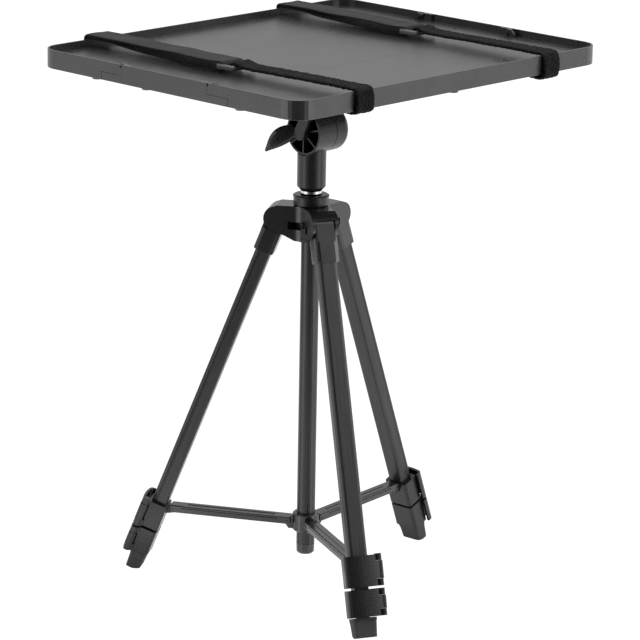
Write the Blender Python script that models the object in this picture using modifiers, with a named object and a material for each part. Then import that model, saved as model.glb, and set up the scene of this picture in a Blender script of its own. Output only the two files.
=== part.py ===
"""Projector table: a tray with fold-up wings on a pan and tilt head and a three-legged stand.

Metres, +Z up. The origin is on the floor under the middle of the tray.
The tray's long side runs along X, and its wings fold about axes along X.
"""
from math import asin, atan2, cos, degrees, hypot, pi, radians, sin, tan

import bmesh
import bpy
from mathutils import Matrix, Vector

for old in list(bpy.data.objects):
    bpy.data.objects.remove(old, do_unlink=True)

# Clearances
GAP = 0.0003            # between two pieces that touch
RUN = 0.0004            # between two pieces that slide or turn
PAST = 0.002            # how far a cutter runs past the face that it opens

# Stand
COLUMN_X = -0.0073      # the tray sits a little off the column
COLUMN_Y = 0.0076
FOOT_CIRCLE_R = 0.210   # floor circle through the middle of the feet
LEG_LEAN = radians(21.1)
LEG_TURN = radians(3.34)   # first leg's azimuth, the others follow at thirds
LEG_COUNT = 3

# Leg tubes, across the leg (side) and through it (deep)
UPPER_SIDE = 0.0220
UPPER_DEEP = 0.0185
UPPER_WALL = 0.0018
MID_WALL = 0.0014
LOW_WALL = 0.0014
TUBE_CORNER = 0.0036
MID_CORNER = 0.0016
LOW_CORNER = 0.0011
GROOVE_WIDE = 0.0026
GROOVE_DEEP = 0.0008
GROOVE_AT = 0.0041      # groove's place towards the leg's outer face

# Leg stations, measured up the leg from the floor
FOOT_TOP = 0.0228
LOW_LOCK_BOTTOM = 0.0234
LOW_LOCK_TOP = 0.0549
UP_LOCK_BOTTOM = 0.0575
UP_LOCK_TOP = 0.0905
UP_LEVER_TOP = 0.0945
LOCK_LIP = 0.0035       # ledge under the tube that a lock grips
MID_TOP_DOWN = 0.060    # top of the middle section, down from the hinge
LOW_TOP_DOWN = 0.075    # top of the lower section, down from the hinge
FOOT_GRIP = 0.009       # how far the lower section stands above the foot's sole

# Locks
LOCK_SIDE = 0.0325
LOCK_IN = 0.0115
LOCK_OUT = 0.0125
LOCK_CORNER = 0.0035
KNUCKLE_R = 0.0042
KNUCKLE_X = 0.0145
KNUCKLE_Y = 0.0205
KNUCKLE_TALL = 0.0080
KNUCKLE_PLAY = 0.00015  # between a lever's barrel and the knuckle above or below it
LEVER_BARREL_R = 0.0050
LEVER_THICK = 0.0028
LEVER_CREST = 0.0205    # the lever's outer face over the leg's middle
LEVER_BOW = 0.0030      # how far the crest falls away at the lever's free edge
LEVER_END_Y = 0.0196    # how far the lever reaches past the leg's middle

# Feet
FOOT_SIDE = 0.0285
FOOT_DEEP = 0.0190
FOOT_TAPER = 0.91
FOOT_RIM = 0.0035

# Crown
HINGE_R = 0.0385
CROWN_TOP = 0.4605
CROWN_BOTTOM = 0.4190
CROWN_CORE_R = 0.0262    # where the slot between a pair of ears begins
CROWN_ROOF = 0.0033     # thickness of the crown's top over each slot
EAR_R = 0.0150
EAR_THICK = 0.0042
EAR_GAP = 0.0234
WINDOW_Z = 0.4372       # middle of all the windows
WINDOW_TALL = 0.0092
EAR_WINDOW_R = 0.0300   # middle of an ear's window, from the column axis
EAR_WINDOW_LONG = 0.0075
WEB_WINDOW_LONG = 0.0165
WEB_WINDOW_DEEP = 0.0068
WEB_WINDOW_AT = -0.0050  # how far a web's window sits off the web's middle
WEB_FILLET_R = 0.0120
CAP_BOSS_R = 0.0105     # round the hinge, on the side that faces the column
CAP_BOSS_WIDE = 0.0226
CAP_BROW = 35           # degrees above level where the crown's roof ends over a slot
CAP_WALL = 0.0029
CAP_TOP = 0.0170        # the sleeve's upper end, down from the hinge
CAP_END = 0.0440        # the sleeve's lower end, down from the hinge
LEG_PIN_R = 0.0025
LEG_PIN_SEAT = 0.0028   # how far a pin goes into each ear

# Column, guide tube and collar
GUIDE_R = 0.01085
GUIDE_WALL = 0.0014
GUIDE_TOP = 0.4540
GUIDE_BOTTOM = 0.0460
KEYWAY_WIDE = 0.0032
KEYWAY_DEEP = 0.0006
END_CAP_BOTTOM = 0.0335
COLUMN_R = 0.0090
COLUMN_WALL = 0.0016
COLUMN_BOTTOM = 0.0620
COLUMN_TOP = 0.5000
COLLAR_R = 0.0213
COLLAR_TOP = 0.4732
COLLAR_LIP_R = 0.0192
RING_R = 0.01285
RING_TOP = 0.4793

# Spreader
HUB_TOP = 0.0840
HUB_BOTTOM = 0.0620
HUB_R = 0.0160
HUB_PIVOT_R = 0.0215
HUB_PIVOT_Z = 0.0720
HUB_EAR_WIDE = 0.0100
PIVOT_R = 0.0020
PIVOT_EAR_R = 0.0048
ARM_WIDE = 0.0162
ARM_TALL = 0.0092
ARM_WALL = 0.0016
ARM_LIFT = 0.0062       # the arm's top over its pivots
LOCK_EAR_UP = 0.0880    # arm pivot's place up the leg
LOCK_EAR_IN = 0.0175    # arm pivot's place in from the leg's middle

# Head
NECK_R = 0.0169
NECK_BOTTOM = 0.4797
NECK_CHAMFER = 0.0030
BARREL_R = 0.0265
BARREL_Z = 0.5479
BARREL_LEFT = -0.0148   # from the column axis
BARREL_SPLIT = 0.0137
BARREL_RIGHT = 0.0370
BARREL_WALL = 0.0022
BARREL_WEB = 0.0018
BARREL_WEBS = 7
BARREL_DEEP = 0.0180
BARREL_CORE_R = 0.0085
BARREL_ROUND = 0.0075
AXLE_R = 0.0040
PLATFORM_X = 0.0620
PLATFORM_Y = 0.0500
PLATFORM_THICK = 0.0070
PLATFORM_UP = 0.0285    # the platform's underside over the barrel axis
LEVER_HUB_R = 0.0084
LEVER_HUB_LONG = 0.0070
LEVER_BAR_WIDE = 0.0145
LEVER_BAR_LONG = 0.0280
LEVER_BAR_BELOW = 0.0050    # how much of the bar lies below the axis
LEVER_BAR_THICK = 0.0050
LEVER_BAR_TURN = radians(25)
PADDLE_ROOT = (0.0040, 0.0085, 0.0030)      # out from the hub, back and up from the axis
PADDLE_TIP = (0.0255, 0.0355, -0.0238)
PADDLE_WIDE = 0.0212
PADDLE_THICK = 0.0078
PADDLE_ARCH = 0.0032        # how far the paddle's middle bows up

# Tray mount block
BLOCK_FOOT_X = 0.0560
BLOCK_FOOT_Y = 0.0440
BLOCK_FOOT_TALL = 0.0080
BLOCK_TOP_X = 0.1100
BLOCK_TOP_Y = 0.0900
BLOCK_TOP_THICK = 0.0035
STUD_R = 0.0032         # the platform's stud stands up into the block
STUD_TALL = 0.0080

# Tray
TRAY_X = 0.5040
TRAY_Y = 0.4140
TRAY_TALL = 0.0215
RIM_TOP = 0.6475
RIM_WALL = 0.0024
TRAY_CORNER = 0.0260
WELL_DEEP = 0.0080
PLATE_THICK = 0.0026
LAP_UP = 0.0670         # the joint's place in the rim's upper half
LAP_LOW = 0.1000        # the joint's place in the rim's lower half
LAP_DROP = 0.0124       # the lap's level under the rim's top
SEAM = 0.0006
WING_PIN_R = 0.0010
WING_PIN_LONG = 0.0074
WING_PIN_IN = 0.0022    # pin axis, in from the rim's top and from the joint
HINGE_EAR = 0.0030
HINGE_EAR_R = 0.0020
HINGE_ROOT = 0.0120     # how far an ear's root runs along the rim
RIB_WIDE = 0.0020
RIB_TALL = 0.0070
FOOT_PAD_R = 0.0062
FOOT_PAD_TALL = 0.0016

# Straps
STRAP_X = 0.1560
STRAP_WIDE = 0.0300
STRAP_THICK = 0.0024
STRAP_RETURN = 0.0240
STRAP_ROUND = 0.0005    # how much further than its top the wing strap's round end lies from the hinge
BUCKLE_LONG = 0.0290
BUCKLE_WIDE = 0.0390
BUCKLE_LEFT_Y = -0.0165
BUCKLE_RIGHT_Y = -0.0050
BUCKLE_BAR = 0.0040
BUCKLE_THICK = 0.0048

# Worked out from the sizes above
HINGE_Z = (FOOT_CIRCLE_R - HINGE_R) / tan(LEG_LEAN)
LEG_RUN = (FOOT_CIRCLE_R - HINGE_R) / sin(LEG_LEAN)
MID_SIDE = UPPER_SIDE - 2 * UPPER_WALL - 2 * RUN
MID_DEEP = UPPER_DEEP - 2 * UPPER_WALL - 2 * RUN
LOW_SIDE = MID_SIDE - 2 * MID_WALL - 2 * RUN
LOW_DEEP = MID_DEEP - 2 * MID_WALL - 2 * RUN
SURFACE = RIM_TOP - WELL_DEEP
RIM_BOTTOM = RIM_TOP - TRAY_TALL
PLATE_UNDER = SURFACE - PLATE_THICK
PIN_Y = LAP_UP + WING_PIN_IN
PIN_Z = RIM_TOP - WING_PIN_IN
STRAP_OVER = RIM_TOP + GAP - PIN_Z      # from the hinge line up to the straps
STRAP_END_R = STRAP_OVER + STRAP_THICK + STRAP_ROUND
PLATFORM_LOW = BARREL_Z + PLATFORM_UP
PLATFORM_TOP = PLATFORM_LOW + PLATFORM_THICK

MODEL = bpy.data.collections.new("projector_table")
CUTTERS = bpy.data.collections.new("cutters")
for group in (MODEL, CUTTERS):
    bpy.context.scene.collection.children.link(group)


# Materials
def make_material(name, colour, roughness, metallic=0.0):
    mat = bpy.data.materials.new(name)
    mat.use_nodes = True
    shader = mat.node_tree.nodes["Principled BSDF"]
    shader.inputs["Base Color"].default_value = (*colour, 1.0)
    shader.inputs["Roughness"].default_value = roughness
    shader.inputs["Metallic"].default_value = metallic
    return mat


TRAY_GREY = make_material("tray_grey", (0.17, 0.17, 0.18), 0.42)
MOULDED = make_material("moulded_grey", (0.085, 0.086, 0.092), 0.45)
TUBE_GREY = make_material("tube_grey", (0.115, 0.117, 0.125), 0.32, 0.85)
BRIGHT = make_material("bright_steel", (0.72, 0.73, 0.75), 0.12, 1.0)
PIN_STEEL = make_material("pin_steel", (0.45, 0.45, 0.47), 0.35, 1.0)
RUBBER = make_material("foot_rubber", (0.045, 0.045, 0.048), 0.75)
WEBBING = make_material("webbing", (0.018, 0.018, 0.020), 0.90)
BUCKLE = make_material("buckle_plastic", (0.05, 0.05, 0.052), 0.40)


# Outlines, as lists of points in the plane
def arc(cx, cy, radius, start, end, steps):
    """Points on an arc, with angles in degrees."""
    turn = (end - start) / steps
    return [(cx + radius * cos(radians(start + turn * i)),
             cy + radius * sin(radians(start + turn * i))) for i in range(steps + 1)]


def rounded(wide, high, corner, steps=4, cx=0.0, cy=0.0):
    """A rectangle with round corners."""
    points = []
    for sx, sy, start in ((1, -1, -90), (1, 1, 0), (-1, 1, 90), (-1, -1, 180)):
        points += arc(cx + sx * (wide / 2 - corner), cy + sy * (high / 2 - corner),
                      corner, start, start + 90, steps)
    return points


def band(path, thick):
    """The outline of a strip of even thickness that follows a path."""
    left, right = [], []
    for i, (x, y) in enumerate(path):
        ax, ay = path[max(i - 1, 0)]
        bx, by = path[min(i + 1, len(path) - 1)]
        run = hypot(bx - ax, by - ay)
        nx, ny = -(by - ay) / run, (bx - ax) / run
        left.append((x + nx * thick / 2, y + ny * thick / 2))
        right.append((x - nx * thick / 2, y - ny * thick / 2))
    return left + right[::-1]


# Solids
def new_object(name, mesh, mat=None):
    obj = bpy.data.objects.new(name, mesh)
    CUTTERS.objects.link(obj)
    if mat:
        mesh.materials.clear()
        mesh.materials.append(mat)
    return obj


def settled_mesh(obj):
    """The object's mesh with its curve or modifiers worked in and its caps welded."""
    bpy.context.view_layer.update()
    ready = obj.evaluated_get(bpy.context.evaluated_depsgraph_get())
    mesh = bpy.data.meshes.new_from_object(ready)
    shape = bmesh.new()
    shape.from_mesh(mesh)
    bmesh.ops.remove_doubles(shape, verts=shape.verts, dist=1e-6)
    shape.to_mesh(mesh)
    shape.free()
    return mesh


def settle(obj):
    mesh = settled_mesh(obj)
    obj.modifiers.clear()
    obj.data = mesh
    return obj


def plate(name, outline, low, high, mat=None, holes=()):
    """A flat outline, with or without holes, standing from low to high along Z."""
    curve = bpy.data.curves.new(name, "CURVE")
    curve.dimensions = "2D"
    curve.fill_mode = "BOTH"
    curve.extrude = (high - low) / 2
    for loop in (outline, *holes):
        spline = curve.splines.new("POLY")
        spline.points.add(len(loop) - 1)
        for point, (x, y) in zip(spline.points, loop):
            point.co = (x, y, 0.0, 1.0)
        spline.use_cyclic_u = True
    source = new_object(name + "_outline", curve)
    mesh = settled_mesh(source)
    bpy.data.objects.remove(source, do_unlink=True)
    mesh.transform(Matrix.Translation((0, 0, (low + high) / 2)))
    return new_object(name, mesh, mat)


def block(name, size, centre, mat=None):
    shape = bmesh.new()
    bmesh.ops.create_cube(shape, size=1.0)
    bmesh.ops.scale(shape, vec=size, verts=shape.verts)
    bmesh.ops.translate(shape, vec=centre, verts=shape.verts)
    mesh = bpy.data.meshes.new(name)
    shape.to_mesh(mesh)
    shape.free()
    return new_object(name, mesh, mat)


def rod(name, radius, low, high, mat=None, sides=24):
    """A round bar along Z."""
    shape = bmesh.new()
    bmesh.ops.create_cone(shape, cap_ends=True, segments=sides, radius1=radius, radius2=radius,
                          depth=high - low, matrix=Matrix.Translation((0, 0, (low + high) / 2)))
    mesh = bpy.data.meshes.new(name)
    shape.to_mesh(mesh)
    shape.free()
    return new_object(name, mesh, mat)


def turned(name, profile, mat=None, steps=40, closed=False):
    """A profile of (radius, height) points, turned about Z."""
    mesh = bpy.data.meshes.new(name)
    count = len(profile)
    edges = [(i, i + 1) for i in range(count - 1)]
    if closed:
        edges.append((count - 1, 0))
    mesh.from_pydata([(r, 0.0, z) for r, z in profile], edges, [])
    obj = new_object(name, mesh, mat)
    screw = obj.modifiers.new("turn", "SCREW")
    screw.steps = steps
    screw.render_steps = steps
    screw.use_merge_vertices = True
    screw.merge_threshold = 0.00001
    settle(obj)
    shape = bmesh.new()
    shape.from_mesh(obj.data)
    bmesh.ops.recalc_face_normals(shape, faces=shape.faces)
    shape.to_mesh(obj.data)
    shape.free()
    return obj


def move(obj, matrix):
    obj.data.transform(matrix)
    return obj


def combine(obj, tools, operation="DIFFERENCE"):
    """Cut, join or trim obj with each tool in turn."""
    for tool in tools:
        boolean = obj.modifiers.new(tool.name, "BOOLEAN")
        boolean.operation = operation
        boolean.solver = "EXACT"
        boolean.object = tool
        settle(obj)
        bpy.data.objects.remove(tool, do_unlink=True)
    return obj


def cut(obj, *tools):
    return combine(obj, tools, "DIFFERENCE")


def join(obj, *tools):
    return combine(obj, tools, "UNION")


def soften(obj, width, segments=2, angle=40):
    """Round the edges that are sharper than the angle."""
    bevel = obj.modifiers.new("edges", "BEVEL")
    bevel.width = width
    bevel.segments = segments
    bevel.limit_method = "ANGLE"
    bevel.angle_limit = radians(angle)
    return settle(obj)


def anchor(name, matrix, parent=None):
    """An empty on a joint's axis or a sub-assembly's centre."""
    empty = bpy.data.objects.new(name, None)
    empty.empty_display_size = 0.02
    MODEL.objects.link(empty)
    empty.parent = parent
    empty.matrix_local = matrix
    return empty


def finish(obj, name, mat, parent=None):
    """Put a finished piece in the model, under its node name."""
    CUTTERS.objects.unlink(obj)
    MODEL.objects.link(obj)
    obj.name = name
    obj.data.name = name
    obj.data.materials.clear()
    obj.data.materials.append(mat)
    obj.data.shade_smooth()
    obj.data.set_sharp_from_angle(angle=radians(35))
    obj.parent = parent
    return obj


def copy_of(obj, name, parent):
    twin = bpy.data.objects.new(name, obj.data)
    MODEL.objects.link(twin)
    twin.parent = parent
    return twin


TO_Y = Matrix.Rotation(radians(-90), 4, "X")        # turns Z onto +Y
TO_X = Matrix.Rotation(radians(90), 4, "Y")         # turns Z onto +X
# turns an outline's x, y into y, z, with its thickness along X
SIDE_YZ = Matrix(((0, 0, 1, 0), (1, 0, 0, 0), (0, 1, 0, 0), (0, 0, 0, 1)))
# turns an outline's x, y into x, z, with its thickness along -Y
SIDE_XZ = Matrix(((1, 0, 0, 0), (0, 0, -1, 0), (0, 1, 0, 0), (0, 0, 0, 1)))

STAND = anchor("stand_axis", Matrix.Translation((COLUMN_X, COLUMN_Y, 0.0)))
LEG_AZIMUTHS = [LEG_TURN + 2 * pi * i / LEG_COUNT for i in range(LEG_COUNT)]
LEG_PLANES = [anchor(f"leg_{i + 1}_plane", Matrix.Rotation(azimuth, 4, "Z"), STAND)
              for i, azimuth in enumerate(LEG_AZIMUTHS)]
LEAN = Matrix.Translation((HINGE_R, 0.0, HINGE_Z)) @ Matrix.Rotation(-LEG_LEAN, 4, "Y")
# along a leg: Z up the leg, X out through its outer face, Y across it, origin at its hinge
LEG_AXES = [anchor(f"leg_{i + 1}_axis", LEAN, plane) for i, plane in enumerate(LEG_PLANES)]


def three(obj, name, mat, parents):
    """Give one finished piece to each of the three legs."""
    first = finish(obj, f"leg_1_{name}", mat, parents[0])
    for i in range(1, LEG_COUNT):
        copy_of(first, f"leg_{i + 1}_{name}", parents[i])


# Crown
def crown_plan_outline():
    """A three-armed star whose arms run into each other through fillets."""
    half = EAR_GAP / 2 + EAR_THICK
    reach = (half + WEB_FILLET_R) / sin(radians(60))
    tip = HINGE_R + EAR_R
    points = []
    for azimuth in LEG_AZIMUTHS:
        for side in (-half, half):
            points.append((tip * cos(azimuth) - side * sin(azimuth),
                           tip * sin(azimuth) + side * cos(azimuth)))
        middle = azimuth + radians(60)
        facing = middle * 180 / pi + 180
        points += arc(reach * cos(middle), reach * sin(middle), WEB_FILLET_R, facing + 30, facing - 30, 6)
    return points


def crown_trim_outline():
    """What is cut away round an arm's side view: its sloping underside and its round end."""
    slope = (HINGE_R - 0.010, HINGE_Z - EAR_R - 0.0045)
    fall = (slope[1] - CROWN_BOTTOM) / (slope[0] - 0.016)
    points = [(0.016 - PAST / fall, CROWN_BOTTOM - PAST), slope]
    points += arc(HINGE_R, HINGE_Z, EAR_R, -75, 80, 12)
    points += [(HINGE_R - 0.006, CROWN_TOP + PAST), (2 * HINGE_R, CROWN_TOP + PAST),
               (2 * HINGE_R, CROWN_BOTTOM - PAST)]
    return points


def crown_slot_outline():
    """The slot between two ears, under the crown's roof and open at its end and below."""
    roof = CROWN_TOP - CROWN_ROOF
    brow = arc(HINGE_R, HINGE_Z, roof - HINGE_Z, 90, CAP_BROW, 6)
    out = 2 * EAR_R
    points = [(CROWN_CORE_R, CROWN_BOTTOM - PAST), (CROWN_CORE_R, roof)] + brow
    points += [(HINGE_R + out * cos(radians(CAP_BROW)), HINGE_Z + out * sin(radians(CAP_BROW))),
               (HINGE_R + 2 * out, CROWN_BOTTOM - PAST)]
    return points


def make_crown():
    crown = plate("crown", crown_plan_outline(), CROWN_BOTTOM, CROWN_TOP)
    half = EAR_GAP / 2 + EAR_THICK
    web_face = (half + WEB_FILLET_R) / sin(radians(60)) - WEB_FILLET_R
    for azimuth in LEG_AZIMUTHS:
        turn = Matrix.Rotation(azimuth, 4, "Z")
        web_turn = Matrix.Rotation(azimuth + radians(60), 4, "Z")
        trim = plate("crown_trim", crown_trim_outline()[::-1], -half - PAST, half + PAST)
        slot = move(plate("crown_slot", crown_slot_outline()[::-1], -EAR_GAP / 2, EAR_GAP / 2), SIDE_XZ)
        window = block("crown_window", (EAR_WINDOW_LONG, half, WINDOW_TALL), (EAR_WINDOW_R, -half, WINDOW_Z))
        pocket = block("crown_pocket", (WEB_WINDOW_DEEP + 0.01, WEB_WINDOW_LONG, WINDOW_TALL),
                       (web_face - WEB_WINDOW_DEEP / 2 + 0.005, WEB_WINDOW_AT, WINDOW_Z))
        seat = rod("crown_seat", LEG_PIN_R + GAP, -EAR_GAP / 2 - LEG_PIN_SEAT - GAP,
                   EAR_GAP / 2 + LEG_PIN_SEAT + GAP, sides=16)
        move(seat, Matrix.Translation((HINGE_R, 0, HINGE_Z)) @ TO_Y)
        cut(crown, move(trim, turn @ SIDE_XZ), move(slot, turn), move(window, turn), move(seat, turn),
            move(pocket, web_turn))
    cut(crown, rod("crown_bore", GUIDE_R + GAP, CROWN_BOTTOM - PAST, GUIDE_TOP + GAP, sides=36))
    cut(crown, rod("crown_mouth", COLUMN_R + RUN, CROWN_BOTTOM - PAST, CROWN_TOP + PAST, sides=36))
    soften(crown, 0.0007, 1, 62)
    finish(crown, "crown", MOULDED, STAND)


def make_collar():
    low = CROWN_TOP + GAP
    bore = COLUMN_R + RUN
    profile = [(bore, COLLAR_TOP), (COLLAR_LIP_R, COLLAR_TOP), (COLLAR_R, COLLAR_TOP - 0.0012),
               (COLLAR_R, COLLAR_TOP - 0.0030), (COLLAR_R - 0.0007, COLLAR_TOP - 0.0036),
               (COLLAR_R - 0.0007, low + 0.0010), (COLLAR_R - 0.0015, low), (bore, low)]
    collar = turned("column_collar", profile, steps=48, closed=True)
    finish(collar, "column_collar", MOULDED, STAND)


# Column
def keyed_circle(radius, keys, steps=12):
    """A circle with shallow keyways along it."""
    points = []
    half = KEYWAY_WIDE / 2 / radius * 180 / pi
    share = 360 / keys
    for key in range(keys):
        start = share * key
        deep = radius - KEYWAY_DEEP
        points += arc(0, 0, deep, start - half, start + half, 2)
        points += arc(0, 0, radius, start + half, start + share - half, steps)
    return points


def make_column():
    guide = plate("guide_tube", keyed_circle(GUIDE_R, 3), GUIDE_BOTTOM, GUIDE_TOP)
    cut(guide, rod("guide_bore", GUIDE_R - GUIDE_WALL, GUIDE_BOTTOM - PAST, GUIDE_TOP + PAST, sides=32))
    finish(guide, "guide_tube", TUBE_GREY, STAND)

    inner = GUIDE_R - GUIDE_WALL - GAP
    top = GUIDE_BOTTOM - GAP
    cap = turned("tube_end_cap", [(0, top + 0.008), (inner, top + 0.008), (inner, top),
                                  (GUIDE_R, top), (GUIDE_R - 0.0003, END_CAP_BOTTOM + 0.002),
                                  (GUIDE_R - 0.0020, END_CAP_BOTTOM), (0, END_CAP_BOTTOM)], steps=32)
    finish(cap, "tube_end_cap", MOULDED, STAND)

    inner = COLUMN_R - COLUMN_WALL
    column = turned("column", [(inner, COLUMN_TOP), (COLUMN_R - 0.0008, COLUMN_TOP),
                               (COLUMN_R, COLUMN_TOP - 0.0008), (COLUMN_R, COLUMN_BOTTOM),
                               (inner, COLUMN_BOTTOM)], steps=32, closed=True)
    finish(column, "column", TUBE_GREY, STAND)

    low, bore = COLLAR_TOP + GAP, COLUMN_R + GAP
    ring = turned("column_ring", [(bore, RING_TOP), (RING_R - 0.0008, RING_TOP),
                                  (RING_R, RING_TOP - 0.0008), (RING_R, low + 0.0008),
                                  (RING_R - 0.0008, low), (bore, low)], steps=40, closed=True)
    finish(ring, "column_ring", BRIGHT, STAND)


# Spreader
def lock_pivot():
    """The arm pivot on a leg's upper lock, as radius and height."""
    down = LEG_RUN - LOCK_EAR_UP
    radius = HINGE_R + down * sin(LEG_LEAN) - LOCK_EAR_IN * cos(LEG_LEAN)
    height = HINGE_Z - down * cos(LEG_LEAN) - LOCK_EAR_IN * sin(LEG_LEAN)
    return radius, height


def make_spreader():
    bore = GUIDE_R + GAP
    hub = turned("spreader_hub", [(bore, HUB_TOP), (HUB_R - 0.0014, HUB_TOP), (HUB_R, HUB_TOP - 0.0014),
                                  (HUB_R, HUB_BOTTOM + 0.0014), (HUB_R - 0.0014, HUB_BOTTOM),
                                  (bore, HUB_BOTTOM)], steps=36, closed=True)
    for azimuth in LEG_AZIMUTHS:
        turn = Matrix.Rotation(azimuth, 4, "Z")
        side = [(bore + 0.0012, HUB_PIVOT_Z - 0.0085), (HUB_PIVOT_R - 0.0015, HUB_PIVOT_Z - 0.0085)]
        side += arc(HUB_PIVOT_R, HUB_PIVOT_Z, PIVOT_EAR_R - 0.0006, -60, 85, 8)
        side += [(bore + 0.0012, HUB_PIVOT_Z + 0.0041)]
        ear = move(plate("hub_ear", side, -HUB_EAR_WIDE / 2, HUB_EAR_WIDE / 2), SIDE_XZ)
        hole = move(rod("hub_hole", PIVOT_R + GAP, -0.02, 0.02, sides=16),
                    Matrix.Translation((HUB_PIVOT_R, 0, HUB_PIVOT_Z)) @ TO_Y)
        join(hub, move(ear, turn))
        cut(hub, move(hole, turn))
    finish(hub, "spreader_hub", MOULDED, STAND)

    far_r, far_z = lock_pivot()
    run = hypot(far_r - HUB_PIVOT_R, far_z - HUB_PIVOT_Z)
    rise = atan2(far_z - HUB_PIVOT_Z, far_r - HUB_PIVOT_R)
    low = ARM_LIFT - ARM_TALL
    near = -0.0030
    side = [(near, ARM_LIFT), (near - 0.0012, ARM_LIFT - 0.0015), (near - 0.0012, low + 0.002),
            (near, low), (run + 0.0018, low), (run + 0.0030, low + 0.002),
            (run + 0.0030, ARM_LIFT - 0.0015), (run + 0.0018, ARM_LIFT)]
    arm = move(plate("arm", side[::-1], -ARM_WIDE / 2, ARM_WIDE / 2), SIDE_XZ)
    soften(arm, 0.0010, 2, 60)
    hollow = block("arm_hollow", (run + 0.02, ARM_WIDE - 2 * ARM_WALL, ARM_TALL),
                   (run / 2, 0, ARM_LIFT - ARM_WALL - ARM_TALL / 2))
    bead = rod("arm_bead", 0.0009, 0.016, run - 0.018, sides=8)
    cut(arm, hollow)
    twist = Matrix.Rotation(0.2, 4, "Z")
    for x in (0.0, run):
        rivet = rod("arm_rivet", PIVOT_R, -ARM_WIDE / 2 - 0.0006, ARM_WIDE / 2 + 0.0006, sides=20)
        join(arm, move(rivet, Matrix.Translation((x, 0, 0)) @ TO_Y @ twist))
    for side_y in (-1, 1):
        line = rod("arm_line", 0.0008, 0.012, run - 0.012, sides=8)
        spot = Matrix.Translation((0, side_y * ARM_WIDE / 2, ARM_LIFT - 0.0026))
        cut(arm, move(line, spot @ TO_X @ twist))
    join(arm, move(bead, Matrix.Translation((0, 0, ARM_LIFT - 0.0002)) @ TO_X @ twist))
    tilt = Matrix.Translation((HUB_PIVOT_R, 0, HUB_PIVOT_Z)) @ Matrix.Rotation(-rise, 4, "Y")
    pivots = [anchor(f"arm_{i + 1}_pivot", tilt, plane) for i, plane in enumerate(LEG_PLANES)]
    first = finish(arm, "spreader_arm_1", MOULDED, pivots[0])
    for i in range(1, LEG_COUNT):
        copy_of(first, f"spreader_arm_{i + 1}", pivots[i])


# Legs
def tube_outline(side, deep, corner, groove=False):
    """A leg tube's section, with a groove along each side near its outer face."""
    points = rounded(deep, side, corner)
    if not groove:
        return points
    with_grooves = []
    for i, (x, y) in enumerate(points):
        with_grooves.append((x, y))
        ahead = points[(i + 1) % len(points)]
        if abs(y) > side / 2 - 1e-6 and abs(ahead[1] - y) < 1e-6:
            sign = 1 if y > 0 else -1
            places = [GROOVE_AT + sign * GROOVE_WIDE / 2, GROOVE_AT - sign * GROOVE_WIDE / 2]
            first, last = places
            inner = y - sign * GROOVE_DEEP
            with_grooves += [(first, y), (first - sign * GROOVE_DEEP, inner),
                             (last + sign * GROOVE_DEEP, inner), (last, y)]
    return with_grooves


def up_leg(station):
    """A height up the leg from the floor, as Z in the leg's own axes."""
    return station - LEG_RUN


def make_tubes():
    upper = plate("upper", tube_outline(UPPER_SIDE, UPPER_DEEP, TUBE_CORNER, True),
                  up_leg(UP_LOCK_BOTTOM + LOCK_LIP), -CAP_TOP,
                  holes=[tube_outline(UPPER_SIDE - 2 * UPPER_WALL, UPPER_DEEP - 2 * UPPER_WALL,
                                      TUBE_CORNER - UPPER_WALL)])
    three(upper, "tube_upper", TUBE_GREY, LEG_AXES)
    middle = plate("middle", tube_outline(MID_SIDE, MID_DEEP, MID_CORNER),
                   up_leg(LOW_LOCK_BOTTOM + LOCK_LIP), -MID_TOP_DOWN,
                   holes=[tube_outline(MID_SIDE - 2 * MID_WALL, MID_DEEP - 2 * MID_WALL, LOW_CORNER)])
    three(middle, "tube_middle", TUBE_GREY, LEG_AXES)
    lower = plate("lower", tube_outline(LOW_SIDE, LOW_DEEP, LOW_CORNER), up_leg(FOOT_GRIP), -LOW_TOP_DOWN,
                  holes=[tube_outline(LOW_SIDE - 2 * LOW_WALL, LOW_DEEP - 2 * LOW_WALL, 0.0006)])
    three(lower, "tube_lower", TUBE_GREY, LEG_AXES)


def make_leg_caps():
    deep, side = UPPER_DEEP + 2 * CAP_WALL, UPPER_SIDE + 2 * CAP_WALL
    cap = plate("cap", rounded(deep, side, TUBE_CORNER + CAP_WALL / 2), -CAP_END, -CAP_TOP + 0.0012)
    soften(cap, 0.0008, 1, 60)
    face = deep / 2
    side_view = [(-CAP_BOSS_R, -CAP_TOP - 0.004), (face, -CAP_TOP - 0.004)]
    side_view += arc(0, 0, face, 0, 80, 8) + arc(0, 0, CAP_BOSS_R, 100, 180, 7)
    boss = move(plate("cap_boss", side_view, -CAP_BOSS_WIDE / 2, CAP_BOSS_WIDE / 2), SIDE_XZ)
    soften(boss, 0.0010, 2, 60)
    join(cap, boss)
    socket = plate("cap_socket", tube_outline(UPPER_SIDE + 2 * GAP, UPPER_DEEP + 2 * GAP, TUBE_CORNER),
                   -CAP_END - PAST, -CAP_TOP + GAP)
    hole = move(rod("cap_hole", LEG_PIN_R + GAP, -0.02, 0.02, sides=16), TO_Y)
    cut(cap, socket, hole)
    three(cap, "top_cap", MOULDED, LEG_AXES)
    half = EAR_GAP / 2 + LEG_PIN_SEAT
    pin = move(rod("pin", LEG_PIN_R, -half, half, sides=16), TO_Y)
    three(pin, "pin", PIN_STEEL, LEG_AXES)


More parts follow.
